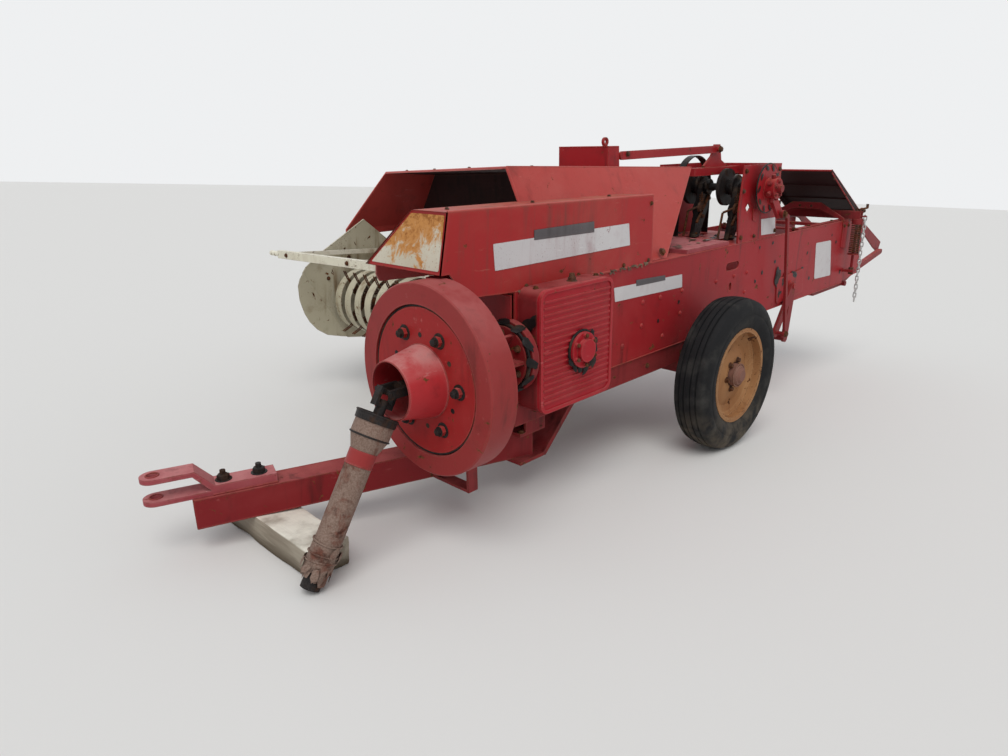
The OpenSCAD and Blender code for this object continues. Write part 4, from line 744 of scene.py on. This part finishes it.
class BALER_OT_gears(Operator):
    """Frame, cap bolts, grease and breather of the gear case and the input housing"""

    bl_idname = "baler.gears"
    bl_label = "Gear case"

    def execute(self, context):
        with piece("cover_frame", "cover_red", "gear_cover") as bm:
            add_plate(bm, [(74, 456), (478, 456), (478, 896), (74, 896)], 102.0, 5.6, 0.038, 0.013)
        with piece("case_front_sheet", "side_red", "bale_case") as bm:
            add_box(bm, mm(-463.6, 50, 488.4), mm(-7.4, 54, 875.6))
            for z in (490, 872):
                add_edging(bm, ((-462, 49, z), (-9, 49, z)), 0.0035, 8)
            for x in (-440, -240):
                add_box(bm, mm(x, 34, 492), mm(x + 6, 51, 872))
            for z in (900, 930):
                add_plate(bm, [(-60, z - 12), (58, z - 12), (58, z + 10), (-60, z + 10)], -12.0, 3.0, 0.002)
            bmesh.ops.bevel(
                bm, geom=bm.edges[:], offset=0.0006, segments=1, profile=0.5, affect="EDGES", material=-1
            )
        with piece("gear_bolts", "rusty_steel", "knotter_shaft") as bm:
            for _, a in angles(6, 30):
                add_bolt(bm, about_x(132.2, CAP_Y, CAP_Z, 54, a), 0.0075, 0.006, OUT, a, washer=False)
            for k, a in angles(6, 30):
                add_bolt(bm, about_y(DRIVE_X, 9.6, DRIVE_Z, 88, a), 0.01, 0.009, AHEAD, k)
            for k, a in angles(8, 22.5):
                add_bolt(bm, about_y(DRIVE_X, -150.2, DRIVE_Z, 68, a), 0.007, 0.006, AHEAD, k)
            add_bolt(bm, mm(55, 298, 896), 0.015, 0.012, UP, 0.4)
            add_cone(bm, mm(55, 298, 916), UP, 0.012, 0.009, 0.016, 20)
            add_bolts(bm, [(52, y, 896) for y in (110, 440)], 0.008, 0.006, UP)
        with piece("gear_grease", "grease", "knotters") as bm:
            add_ring(bm, mm(109.5, CAP_Y, CAP_Z), OUT, 0.069, 0.006, 36, 8, 0.8)
            for k, a in angles(9, -150, 24):
                at = mm(108, CAP_Y + 72 * math.cos(a), CAP_Z + 70 * math.sin(a))
                add_blot(bm, at, OUT, 0.017, 0.008, f"cap {k}", (1.3, 0.8), 14)
            add_blot(bm, mm(124.6, 326, 612), OUT, 0.024, 0.01, "cap smear", (1.3, 0.8))
            add_blot(bm, mm(108, 318, 575), OUT, 0.022, 0.004, "cap drip", (0.6, 1.5))
            for k, a in angles(6):
                at, normal = about_y(DRIVE_X, -60, DRIVE_Z, 78, a), (-math.sin(a), 0, math.cos(a))
                add_blot(bm, at, normal, 0.03, 0.008, f"web {k}", (0.8, 1.4), 16)
            neck = 118
            add_ring(bm, mm(DRIVE_X, 20, DRIVE_Z), -AHEAD, neck * 0.001, 0.007)
            for k, a in angles(12):
                at, normal = about_y(DRIVE_X, 27, DRIVE_Z, neck, a), (math.cos(a), -0.3, math.sin(a))
                add_blot(bm, at, normal, 0.022, 0.009, f"neck {k}", (1.4, 0.8), 14)
            for y, z in ((66, 700), (68, 610), (70, 780)):
                add_blot(bm, mm(60, y, z), AHEAD, 0.035, 0.004, f"side {z}", (0.7, 1.5), 18)
        return {"FINISHED"}


class BALER_OT_flywheel(Operator):
    """Clutch bolts, worn bell of the flywheel, and a dark ring and dark discs of painted shade at the clutch plate's
    gap
    """

    bl_idname = "baler.flywheel"
    bl_label = "Flywheel"

    def execute(self, context):
        face = FLYWHEEL_Y + 5.7
        with piece("clutch_bolts", "shaft_dark", "driveline_yoke", "flywheel") as bm:
            for k, a in angles(6, 0, -60):
                add_bolt(bm, about_y(DRIVE_X, face - 15.8, DRIVE_Z, 165, a), 0.0125, 0.01, AHEAD, k * 0.7)
                add_cone(bm, about_y(DRIVE_X, face, DRIVE_Z, 165, a), AHEAD, 0.026, 0.025, 0.003, 24)
        with piece("clutch_gap_shade", "grease", "knotters", "flywheel") as bm:
            # Dark discs on the plate and a dark ring in the gap round it: painted shade, drawn in grease colour
            for _, a in angles(6, -27, -60):
                at = about_y(DRIVE_X, face + 0.1, DRIVE_Z, 148, a)
                add_cone(bm, at, AHEAD, 0.009, 0.008, 0.0012, 14)
            add_ring(bm, mm(DRIVE_X, face + 3.3, DRIVE_Z), AHEAD, 0.2388, 0.0034, 96)
        with piece("bell_edges", "wheel_red", "safety_bell", "flywheel") as bm:
            add_ring(bm, mm(DRIVE_X, face - 128, DRIVE_Z), AHEAD, 0.0912, 0.0026, 48)
            add_ring(bm, mm(DRIVE_X, face + 0.3, DRIVE_Z), AHEAD, 0.1185, 0.0024, 56)
        return {"FINISHED"}


class BALER_OT_driveline(Operator):
    """Collar, band, clamps and the torn end of the driveline's guard"""

    bl_idname = "baler.driveline"
    bl_label = "Driveline"

    def execute(self, context):
        slope = math.radians(58.5)
        start = mm(DRIVE_X, -480, DRIVE_Z)
        way = Vector((0, -math.cos(slope), -math.sin(slope)))
        across = Vector((0, math.sin(slope), -math.cos(slope)))

        def along(d):
            return start + way * d * 0.001

        with piece("guard_collar", "shaft_dark", "driveline_yoke", "driveline") as bm:
            add_sleeve(bm, along(74), along(98), 0.065, 0.0635, 0.0035)
            add_ring(bm, along(74), way, 0.064, 0.0032)
            add_ring(bm, along(141), way, 0.06, 0.003)
        with piece("guard_band", "wheel_red", "safety_bell", "driveline") as bm:
            add_sleeve(bm, along(187), along(232), 0.0432, 0.0425, 0.0016)
            add_ring(bm, along(232), way, 0.0425, 0.002, 36)
        with piece("guard_torn_end", "shaft_brown", "driveline_guard", "driveline") as bm:
            add_sleeve(bm, along(478), along(566), 0.0428, 0.045, 0.0026, 30, 0.034, "torn")
            add_sleeve(bm, along(500), along(585), 0.037, 0.0385, 0.0024, 26, 0.03, "torn inside")
            for k, (d, r) in enumerate(((470, 0.0445), (505, 0.046), (528, 0.0462))):
                add_ring(bm, along(d), (way + Vector((0.1 * (k - 1), 0.05, 0))).normalized(), r, 0.0028, 32, 6)
            for k in range(9):
                a = k * 0.7
                side = OUT * math.cos(a) + across * math.sin(a)
                add_blot(bm, along(490 + 9 * k) + side * 0.0445, side, 0.016, 0.006, f"mud {k}", (1.4, 0.8), 12)
        return {"FINISHED"}


def tyre_profile(outer, half):
    """Half a section through a tyre, as (radius, across): left wall, ribbed tread, right wall and the inside."""
    steps, bead = 34, 0.2035
    tread = []
    for k in range(-steps, steps + 1):
        share = k / steps
        wide = abs(share)
        in_groove = wide < 0.7 and (abs(wide - 0.2) < 0.035 or abs(wide - 0.5) < 0.035)
        shoulder = 0.02 * max(0.0, wide - 0.8) / 0.2 * wide
        crown = outer - 0.0175 * wide**2.4 - shoulder
        tread.append((crown - (0.0075 if in_groove else 0.0), share * (half - 0.004)))
    # Radius, and how far below the widest place the wall lies
    wall = (
        (0.3, 0.0004), (0.286, 0.0), (0.279, 0.0022), (0.272, 0.0), (0.25, 0.0035), (0.232, 0.0115),
        (0.222, 0.0165), (0.2145, 0.0205), (bead, 0.0235),
    )
    right = [(r, half - low) for r, low in wall]
    left = [(r, -x) for r, x in reversed(right)]
    inside = [(bead, half - 0.046), (0.235, half - 0.042), (0.318, 0.055), (0.324, 0.0)]
    back = [(r, -x) for r, x in reversed(inside[:-1])]
    return left + tread + right + inside + back


class BALER_OT_wheels(Operator):
    """Ribbed tyres, wheel bolts, hub caps and valves"""

    bl_idname = "baler.wheels"
    bl_label = "Wheels"

    def execute(self, context):
        profile = tyre_profile(0.35, 0.0845)
        for side, x, turn in (("left", WHEEL.x, 1), ("right", -2.085, -1)):
            centre = Vector((x, WHEEL.y, WHEEL.z))
            out = OUT * turn
            body = f"wheel_{side}"
            with piece(f"tyre_{side}_ribbed", "rubber", "tyre_left", body, 32, (f"tyre_{side}",)) as bm:
                verts = [bm.verts.new((across * turn, 0, r)) for r, across in profile]
                edges = [bm.edges.new((a, b)) for a, b in zip(verts, verts[1:] + verts[:1])]
                bmesh.ops.spin(
                    bm, geom=verts + edges, cent=(0, 0, 0), axis=OUT, angle=2 * math.pi, steps=112, use_merge=True
                )
                bmesh.ops.remove_doubles(bm, verts=bm.verts, dist=1e-6)
                bmesh.ops.translate(bm, vec=centre, verts=bm.verts)
            with piece(f"wheel_bolts_{side}", "rusty_steel", "knotter_shaft", body) as bm:
                for k, a in angles(6, 10):
                    at = centre + out * 0.0363 + about_x(0, 0, 0, 68, a)
                    add_bolt(bm, at, 0.0105, 0.011, out, k)
                valve = centre + out * 0.058 + Vector((0, 0.1, 0.155))
                add_cone(bm, valve, out + Vector((0, 0.1, 0.5)), 0.0045, 0.0035, 0.036)
            with piece(f"hub_cap_{side}", "hub_maroon", "hub_left", body) as bm:
                add_cone(bm, centre + out * 0.0652, out, 0.047, 0.041, 0.01, 36)
                add_cone(bm, centre + out * 0.075, out, 0.036, 0.026, 0.01, 36)
                add_ring(bm, centre + out * 0.0602, out, 0.052, 0.003)
        return {"FINISHED"}


class BALER_OT_knotter_area(Operator):
    """Springs, twine fingers, bolts and grease around the knotters, stand, crank and lever"""

    bl_idname = "baler.knotter_area"
    bl_label = "Knotter fittings"

    def execute(self, context):
        ky, kz = KNOTTER_Y, KNOTTER_Z
        with piece("stand_bolts", "rusty_steel", "knotter_shaft") as bm:
            places = (
                (1660, 910, 9), (1800, 905, 8), (2030, 912, 9), (1664, 1222, 9), (2022, 1222, 9), (2010, 1120, 8),
                (1652, 1130, 8),
            )
            for y, z, r in places:
                add_bolt(bm, mm(0.2, y, z), r * 0.001, 0.007, OUT, y)
                add_bolt(bm, mm(CASE_RIGHT - 0.2, y, z), r * 0.001, 0.007, -OUT, y)
            add_bolt(bm, mm(-221, 1804, 1322), 0.013, 0.01, OUT, 0.2)
            add_bolt(bm, mm(-233.8, 1020, 1314), 0.009, 0.007, OUT, 0.5)
            add_bolts(bm, [(-252, y, 1236.4) for y in (1700, 1930)], 0.008, 0.006, UP)
        with piece("stand_trim", "side_red", "knotter_stand") as bm:
            add_ring(bm, mm(-4, 1714, 1050), OUT, 0.0285, 0.0035, 4, 6)
            for y, z in ((1900, 1090), (1760, 1045)):
                add_plate(bm, [(y, z), (y + 60, z - 6), (y + 44, z - 70), (y + 8, z - 60)], 0.3, 4.0, 0.008)

        with piece("knotter_fittings", "rusty_steel", "knotters") as bm:
            for x in KNOTTERS_X:
                for k, (dy, dz, r) in enumerate(((-86, -236, 7), (-30, -150, 9), (20, -60, 10), (-20, 20, 8))):
                    add_bolt(bm, mm(x + 44, ky + dy, kz + dz), r * 0.001, 0.008, OUT, k)
                spring = x + 52, ky - 62
                for coil in range(9):
                    add_ring(bm, mm(*spring, kz - 40 - 9 * coil), (0, 0.15, 1), 0.012, 0.0022, 16, 6)
                add_edging(bm, ((*spring, kz - 24), (*spring, kz - 132)), 0.004)
                add_edging(bm, ((x + 50, ky + 40, kz - 12), (x + 50, ky - 96, kz - 178)), 0.007)
                finger = (x - 4, ky - 128, 890), (x - 4, ky - 96, kz - 120), (x + 52, ky - 64, kz - 92)
                add_edging(bm, finger, 0.006)
                add_cone(bm, mm(x + 52, ky + 36, kz - 6), OUT, 0.019, 0.019, 0.02, 20)
                add_cone(bm, mm(x + 52, ky - 70, kz - 100), OUT, 0.026, 0.022, 0.01, 10)
        with piece("knotter_grease", "grease", "knotters") as bm:
            for x in KNOTTERS_X:
                for k in range(10):
                    luck = rng(f"knotter {x} {k}")
                    beside = 54 if k % 2 else -50
                    at = mm(x + beside + luck.uniform(-2, 4), ky - 110 + luck.uniform(-20, 90), 883.6)
                    radius, thick = luck.uniform(0.012, 0.02), luck.uniform(0.006, 0.016)
                    add_blot(bm, at, UP, radius, thick, f"heap {x} {k}", (1, 0.8), 14)

        with piece("crank_bolts", "dull_red", "knotter_crank", "knotter_drive") as bm:
            for k, a in angles(5, 15):
                add_bolt(bm, about_x(92, ky, kz, 34, a), 0.0085, 0.008, OUT, k)
            add_cone(bm, mm(102, ky, kz), OUT, 0.022, 0.018, 0.024, 24)
            for _, a in angles(7, 0, 51):
                add_cone(bm, about_x(70, ky, kz, 52, a), (0, math.cos(a), math.sin(a)), 0.013, 0.01, 0.03)
        with piece("crank_grease", "grease", "knotters", "knotter_drive") as bm:
            add_ring(bm, mm(38, ky, kz), OUT, 0.1165, 0.004, 64)
            for k, a in angles(10):
                add_blot(bm, about_x(41.3, ky, kz, 100, a), OUT, 0.015, 0.003, f"disc {k}", (1.5, 0.7), 12)
        with piece("lift_rod_nuts", "rusty_steel", "knotter_shaft", "lift_rod") as bm:
            add_bolts(bm, ((80.2, 1955, 1005), (80.2, 2130, 345)), 0.014, 0.009)
        return {"FINISHED"}


def add_link(bm, place):
    """A long link of round wire."""
    wire, bend, straight, steps = 0.0036, 8.4, 8.6, 14
    path = []
    for _, t in angles(steps, 180 / steps):
        end = straight if math.sin(t) >= 0 else -straight
        path.append(mm(bend * math.cos(t), 0, bend * math.sin(t) + end))
    rings = []
    for k, point in enumerate(path):
        along = (path[(k + 1) % steps] - path[k - 1]).normalized()
        section = bmesh.ops.create_circle(bm, segments=8, radius=wire, matrix=place @ facing(point, along))
        rings.append(section["verts"])
    for a, b in zip(rings, rings[1:] + rings[:1]):
        bmesh.ops.bridge_loops(bm, edges=edges_of(a) + edges_of(b))


class BALER_OT_tension(Operator):
    """Rod nuts, cranks, fin bolts, arch bolts and the round-wire chain"""

    bl_idname = "baler.tension"
    bl_label = "Tension gear and chain"

    def execute(self, context):
        with piece("tension_nuts", "rusty_steel", "knotter_shaft") as bm:
            for x in (46, -517):
                for z, depth in ((BEAM_Z + 12.8, 0.013), (548, 0.01), (579, 0.013)):
                    add_cone(bm, mm(x, BEAM_Y, z), UP, 0.015, 0.015, depth, 6)
                grip = x + 30, BEAM_Y + 52
                add_edging(bm, ((x, BEAM_Y, 944), (*grip, 952)), 0.006)
                add_edging(bm, ((*grip, 950), (*grip, 976)), 0.008)
            for x, out in ((-13.8, OUT), (-457.2, -OUT)):
                add_bolts(bm, ((x, 3260, 884), (x, 3370, 850)), 0.009, 0.007, out)
            for x in (-276, -205):
                add_cone(bm, mm(x, 2999, 964), -AHEAD, 0.011, 0.011, 0.003)
            add_bolts(bm, ((4.3, 3018, 850), (4.3, 3080, 850)), 0.008, 0.006)
            for x, out in ((1, OUT), (CASE_RIGHT - 1, -OUT)):
                add_bolt(bm, mm(x, 3278, 868), 0.008, 0.006, out)

        with piece("chain_links", "galvanised", "chain", angle=60, hides=("chain",)) as bm:
            pitch, top = 26.8, BEAM_Z + 22.6
            for i in range(20):
                sway = 0.6 * math.sin(i * 1.3)
                turn = math.radians(90 * (i % 2) + 8 * math.sin(i * 2.1))
                hang = Matrix.Translation(mm(90 + sway, BEAM_Y, top - pitch * (i + 0.5)))
                add_link(bm, hang @ Matrix.Rotation(turn, 4, "Z"))
        with piece("rail_bolts", "rusty_steel", "knotter_shaft") as bm:
            for x in (-27, -446):
                add_edging(bm, ((x, 2340, 900), (x, 2340, 884)), 0.008)
            add_bolts(bm, [(x, y, 886) for y in (2560, 2900) for x in (-34, -437)], 0.009, 0.006, UP)
        return {"FINISHED"}


class BALER_OT_chute(Operator):
    """Folded lips, ribs and hinge bolts of the bale chute"""

    bl_idname = "baler.chute"
    bl_label = "Bale chute"

    def execute(self, context):
        lean = math.radians(26.5)
        m = Matrix.Translation(mm(0, CHUTE_Y, CHUTE_Z)) @ Matrix.Rotation(-lean, 4, "X")
        with piece("chute_lips", "side_red", "bale_chute", "chute") as bm:
            for x in (-18, -453):
                add_edging(bm, ((x, -597, 4), (x, -18, 4)), 0.0042, place=m)
            add_edging(bm, ((-18, -598, 0), (-453, -598, 0)), 0.0052, place=m)
            for x in (-14.2, -456.8):
                add_edging(bm, ((x, -20, -38), (x, -594, -12)), 0.0036, place=m)
        with piece("chute_ribs", "shade_red", "bale_chute", "chute") as bm:
            for y in (-200, -400):
                add_edging(bm, ((-24, y, -5.5), (-447, y, -5.5)), 0.005, place=m)
        with piece("chute_bolts", "rusty_steel", "knotter_shaft", "chute") as bm:
            for x, out in ((12, OUT), (-483, -OUT)):
                add_bolt(bm, mm(x, CHUTE_Y, CHUTE_Z), 0.01, 0.008, out)
            for y in (-60, -300, -540):
                for x, out in ((-13.8, OUT), (-457.2, -OUT)):
                    add_bolt(bm, m @ mm(x, y, -18 + 0.01 * y), 0.007, 0.005, m.to_3x3() @ out, y)
        return {"FINISHED"}


class BALER_OT_tongue(Operator):
    """Hitch bolts, weld beads and pivot nut of the tongue"""

    bl_idname = "baler.tongue"
    bl_label = "Tongue and hitch"

    def execute(self, context):
        m = Matrix.Translation(mm(*TONGUE_PIVOT)) @ Matrix.Rotation(math.radians(-18.8), 4, "Z")
        with piece("hitch_bolts", "shaft_dark", "knotter_shaft", "tongue") as bm:
            for y in (-1060, -950):
                add_bolt(bm, m @ mm(0, y, 132.4), 0.02, 0.015, UP, y)
                add_cone(bm, m @ mm(0, y, 156), UP, 0.01, 0.009, 0.018, 14)
        with piece("tongue_welds", "dull_red", "tongue_beam", "tongue") as bm:
            for x in (-48.5, 48.5):
                for z in (1.2, 98.8):
                    add_edging(bm, ((x, -1158, z), (x, 44, z)), 0.0026, 8, m)
            for x in (-38, 38):
                add_edging(bm, ((x, -898, 102), (x, -1098, 102)), 0.004, 8, m)
            for z in (117, 191):
                add_ring(bm, m @ mm(0, -1260, z), UP, 0.0185, 0.0028, 28, 6)
        with piece("frame_bolts", "rusty_steel", "knotter_shaft") as bm:
            x, y, z = TONGUE_PIVOT
            add_bolt(bm, mm(x, y, z + 118), 0.02, 0.014, UP)
            plate = [(x + dx, y + dy, 334.6) for dx in (-70, 70) for dy in (-45, 55)]
            add_bolts(bm, plate, 0.01, 0.008, UP)
            for y in (170, 300, 480, 900, 1180, 1440):
                for x, out in ((-5.8, OUT), (-465.2, -OUT)):
                    add_bolt(bm, mm(x, y, 430), 0.009, 0.007, out, y)
        return {"FINISHED"}


class BALER_OT_pickup(Operator):
    """Rolled edges, bolts, band rivets and tine coils of the pickup"""

    bl_idname = "baler.pickup"
    bl_label = "Pickup"

    def execute(self, context):
        far_shield, near_shield = -1757, -543
        with piece("shield_edges", "cream", "pickup_frame", "pickup") as bm:
            ways = (
                (far_shield, ((676, 974), (379, 816), (291, 755), (270, 728))),
                (far_shield, ((511, 334), (616, 316), (952, 480), (952, 752), (676, 974))),
                (near_shield, (
                    (700, 780), (500, 720), (400, 620), (400, 500), (475, 360), (640, 300), (800, 330), (952, 500),
                )),
            )
            for x, way in ways:
                add_edging(bm, [(x, *p) for p in way], 0.0042, 10)
        with piece("pickup_bolts", "rusty_steel", "knotter_shaft", "pickup") as bm:
            far = ((560, 780), (700, 720), (820, 640), (820, 480), (640, 420), (480, 520), (420, 680))
            near = ((520, 660), (700, 700), (820, 600), (760, 420), (540, 400))
            for x, places in ((far_shield, far), (near_shield, near)):
                add_bolts(bm, [(x + 3.2, *p) for p in places], 0.0085, 0.006)
            for x in BANDS_X:
                for out in (1, -1):
                    add_bolt(bm, mm(x, 922, REEL_Z + 172 * out), 0.0075, 0.004, UP * out, x)
        with piece("tine_coils", "rusty_steel", "knotter_shaft", "reel") as bm:
            for _, t in angles(4, 45):
                for band in BANDS_X[:-1]:
                    for side in (-6, 6):
                        at = about_x(band - 45.5 + side, REEL_Y, REEL_Z, 120, t)
                        add_ring(bm, at, OUT, 0.0148, 0.003, 14, 5)
        with piece("windguard_bolts", "rusty_steel", "knotter_shaft", "windguard") as bm:
            for x in (-1700, -1151, -600):
                add_bolt(bm, mm(x, 154.6, 838 + (x + 1790) * 0.0262), 0.0085, 0.006, AHEAD, x)
                add_cone(bm, mm(x + 12, 880, 790), OUT, 0.01, 0.01, 0.012)
        return {"FINISHED"}


class BALER_OT_timber(Operator):
    """The weathered, splintered timber under the tongue"""

    bl_idname = "baler.timber"
    bl_label = "Timber block"

    def execute(self, context):
        low, high = (Vector(c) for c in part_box("timber_block"))
        middle, half = (low + high) / 2, (high - low) / 2
        hides = ("timber_block",)
        with piece("timber_weathered", "timber", "timber_block", angle=40, hides=hides, level=False) as bm:
            add_box(bm, low, high)
            bmesh.ops.bevel(
                bm, geom=bm.edges[:] + bm.verts[:], offset=0.005, segments=2, profile=0.5, affect="EDGES", material=-1
            )
            for _ in range(4):
                long_edges = [e for e in bm.edges if e.calc_length() > 0.012]
                bmesh.ops.subdivide_edges(bm, edges=long_edges, cuts=1, use_grid_fill=True)
            for v in bm.verts:
                x, y, z = v.co
                off = v.co - middle
                grain = noise.fractal(Vector((x * 5, y * 42, z * 42)), 1.0, 2.0, 4)
                end = max(0.0, abs(off.x) / half.x - 0.94) * 14
                edge = max(0.0, abs(off.y) / half.y + abs(off.z) / half.z - 1.72) * 3.2
                splinter = max(0.0, noise.noise(Vector((x * 11, y * 6, 3.1))) + 0.25)
                pull = 0.0016 * (0.6 + grain) + 0.01 * edge * splinter
                v.co += Vector((0, -off.y, -off.z)).normalized() * max(0.0, pull)
                ragged = 1 + noise.noise(Vector((v.co.y, v.co.z, 0)) * 60)
                v.co.x -= math.copysign(end * 0.006 * ragged, off.x)
                v.co.z = max(v.co.z, 0.0004)
        return {"FINISHED"}


# ---------------------------------------------------------------- stage
class BALER_OT_stage(Operator):
    """Floor, even light and the camera"""

    bl_idname = "baler.stage"
    bl_label = "Set the stage"

    def execute(self, context):
        s = context.scene.baler_stage
        scene = context.scene
        scene.view_settings.view_transform = "Standard"
        bm = bmesh.new()
        bmesh.ops.create_grid(bm, x_segments=1, y_segments=1, size=60)
        mesh = bpy.data.meshes.new("studio_floor")
        bm.to_mesh(mesh)
        bm.free()
        floor = bpy.data.objects.new("studio_floor", mesh)
        scene.collection.objects.link(floor)
        r = Recipe("studio_floor")
        r.finish((0.74, 0.73, 0.71), 0.9)
        mesh.materials.append(r.material)

        # One background lights the machine, the other is what the camera and shiny metal see
        world = bpy.data.worlds.new("studio")
        scene.world = world
        world.use_nodes = True
        nodes, links = world.node_tree.nodes, world.node_tree.links
        nodes.clear()
        kinds = ("OutputWorld", "Background", "Background", "LightPath", "Math", "MixShader")
        out, light, seen, path, either, mix = (nodes.new("ShaderNode" + kind) for kind in kinds)
        for node, tone, strength in ((light, (0.93, 0.96, 1.0, 1), s.sky), (seen, (0.86, 0.87, 0.88, 1), 1.0)):
            node.inputs["Color"].default_value = tone
            node.inputs["Strength"].default_value = strength
        either.operation = "MAXIMUM"
        links.new(path.outputs["Is Camera Ray"], either.inputs[0])
        links.new(path.outputs["Is Glossy Ray"], either.inputs[1])
        for k, source in enumerate((either, light, seen)):
            links.new(source.outputs[0], mix.inputs[k])
        links.new(mix.outputs[0], out.inputs["Surface"])

        sun = bpy.data.lights.new("soft_sun", "SUN")
        sun.energy, sun.angle, sun.color = s.sun, math.radians(40), (1.0, 0.985, 0.96)
        lamp = bpy.data.objects.new("soft_sun", sun)
        lamp.rotation_euler = Vector((0.45, -0.55, 1.0)).to_track_quat("Z", "Y").to_euler()
        scene.collection.objects.link(lamp)

        yaw, pitch, roll = -0.7816, 0.3164, -0.0159
        ahead = Vector((math.sin(yaw) * math.cos(pitch), math.cos(yaw) * math.cos(pitch), -math.sin(pitch)))
        level = ahead.cross(UP).normalized()
        over = level.cross(ahead)
        right = math.cos(roll) * level + math.sin(roll) * over
        over = -math.sin(roll) * level + math.cos(roll) * over
        camera_data = bpy.data.cameras.new("photo_view")
        camera_data.sensor_fit, camera_data.sensor_width = "HORIZONTAL", 36.0
        camera_data.lens = 36.0 * s.focal
        camera_data.clip_start, camera_data.clip_end = 0.05, 300
        camera = bpy.data.objects.new("photo_view", camera_data)
        view = Matrix((right, over, -ahead)).transposed().to_4x4()
        view.translation = (1.65, -1.66, 1.359)
        camera.matrix_world = PARKED @ view
        scene.collection.objects.link(camera)
        scene.camera = camera
        return {"FINISHED"}


class BALER_PT_panel(Panel):
    """Lists the dressing steps"""

    bl_label = "Square baler"
    bl_idname = "BALER_PT_panel"
    bl_space_type = "VIEW_3D"
    bl_region_type = "UI"
    bl_category = "Baler"

    def draw(self, context):
        for step in STEPS:
            self.layout.operator(step.bl_idname)
        for name in GROUPS:
            group = getattr(context.scene, name)
            for key in group.__annotations__:
                self.layout.prop(group, key)


GROUPS = {"baler_paint": PaintSettings, "baler_fasteners": FastenerSettings, "baler_stage": StageSettings}
STEPS = (
    BALER_OT_stage, BALER_OT_paint, BALER_OT_labels, BALER_OT_hood, BALER_OT_feeder, BALER_OT_case, BALER_OT_gears,
    BALER_OT_flywheel, BALER_OT_driveline, BALER_OT_wheels, BALER_OT_knotter_area, BALER_OT_tension, BALER_OT_chute,
    BALER_OT_tongue, BALER_OT_pickup, BALER_OT_timber,
)
CLASSES = (*GROUPS.values(), *STEPS, BALER_PT_panel)


def register():
    for c in CLASSES:
        bpy.utils.register_class(c)
    for name, group in GROUPS.items():
        setattr(bpy.types.Scene, name, PointerProperty(type=group))


def unregister():
    for name in GROUPS:
        delattr(bpy.types.Scene, name)
    for c in reversed(CLASSES):
        bpy.utils.unregister_class(c)


def main():
    register()
    for step in STEPS:
        group, action = step.bl_idname.split(".")
        getattr(getattr(bpy.ops, group), action)()


if __name__ == "__main__":
    main()
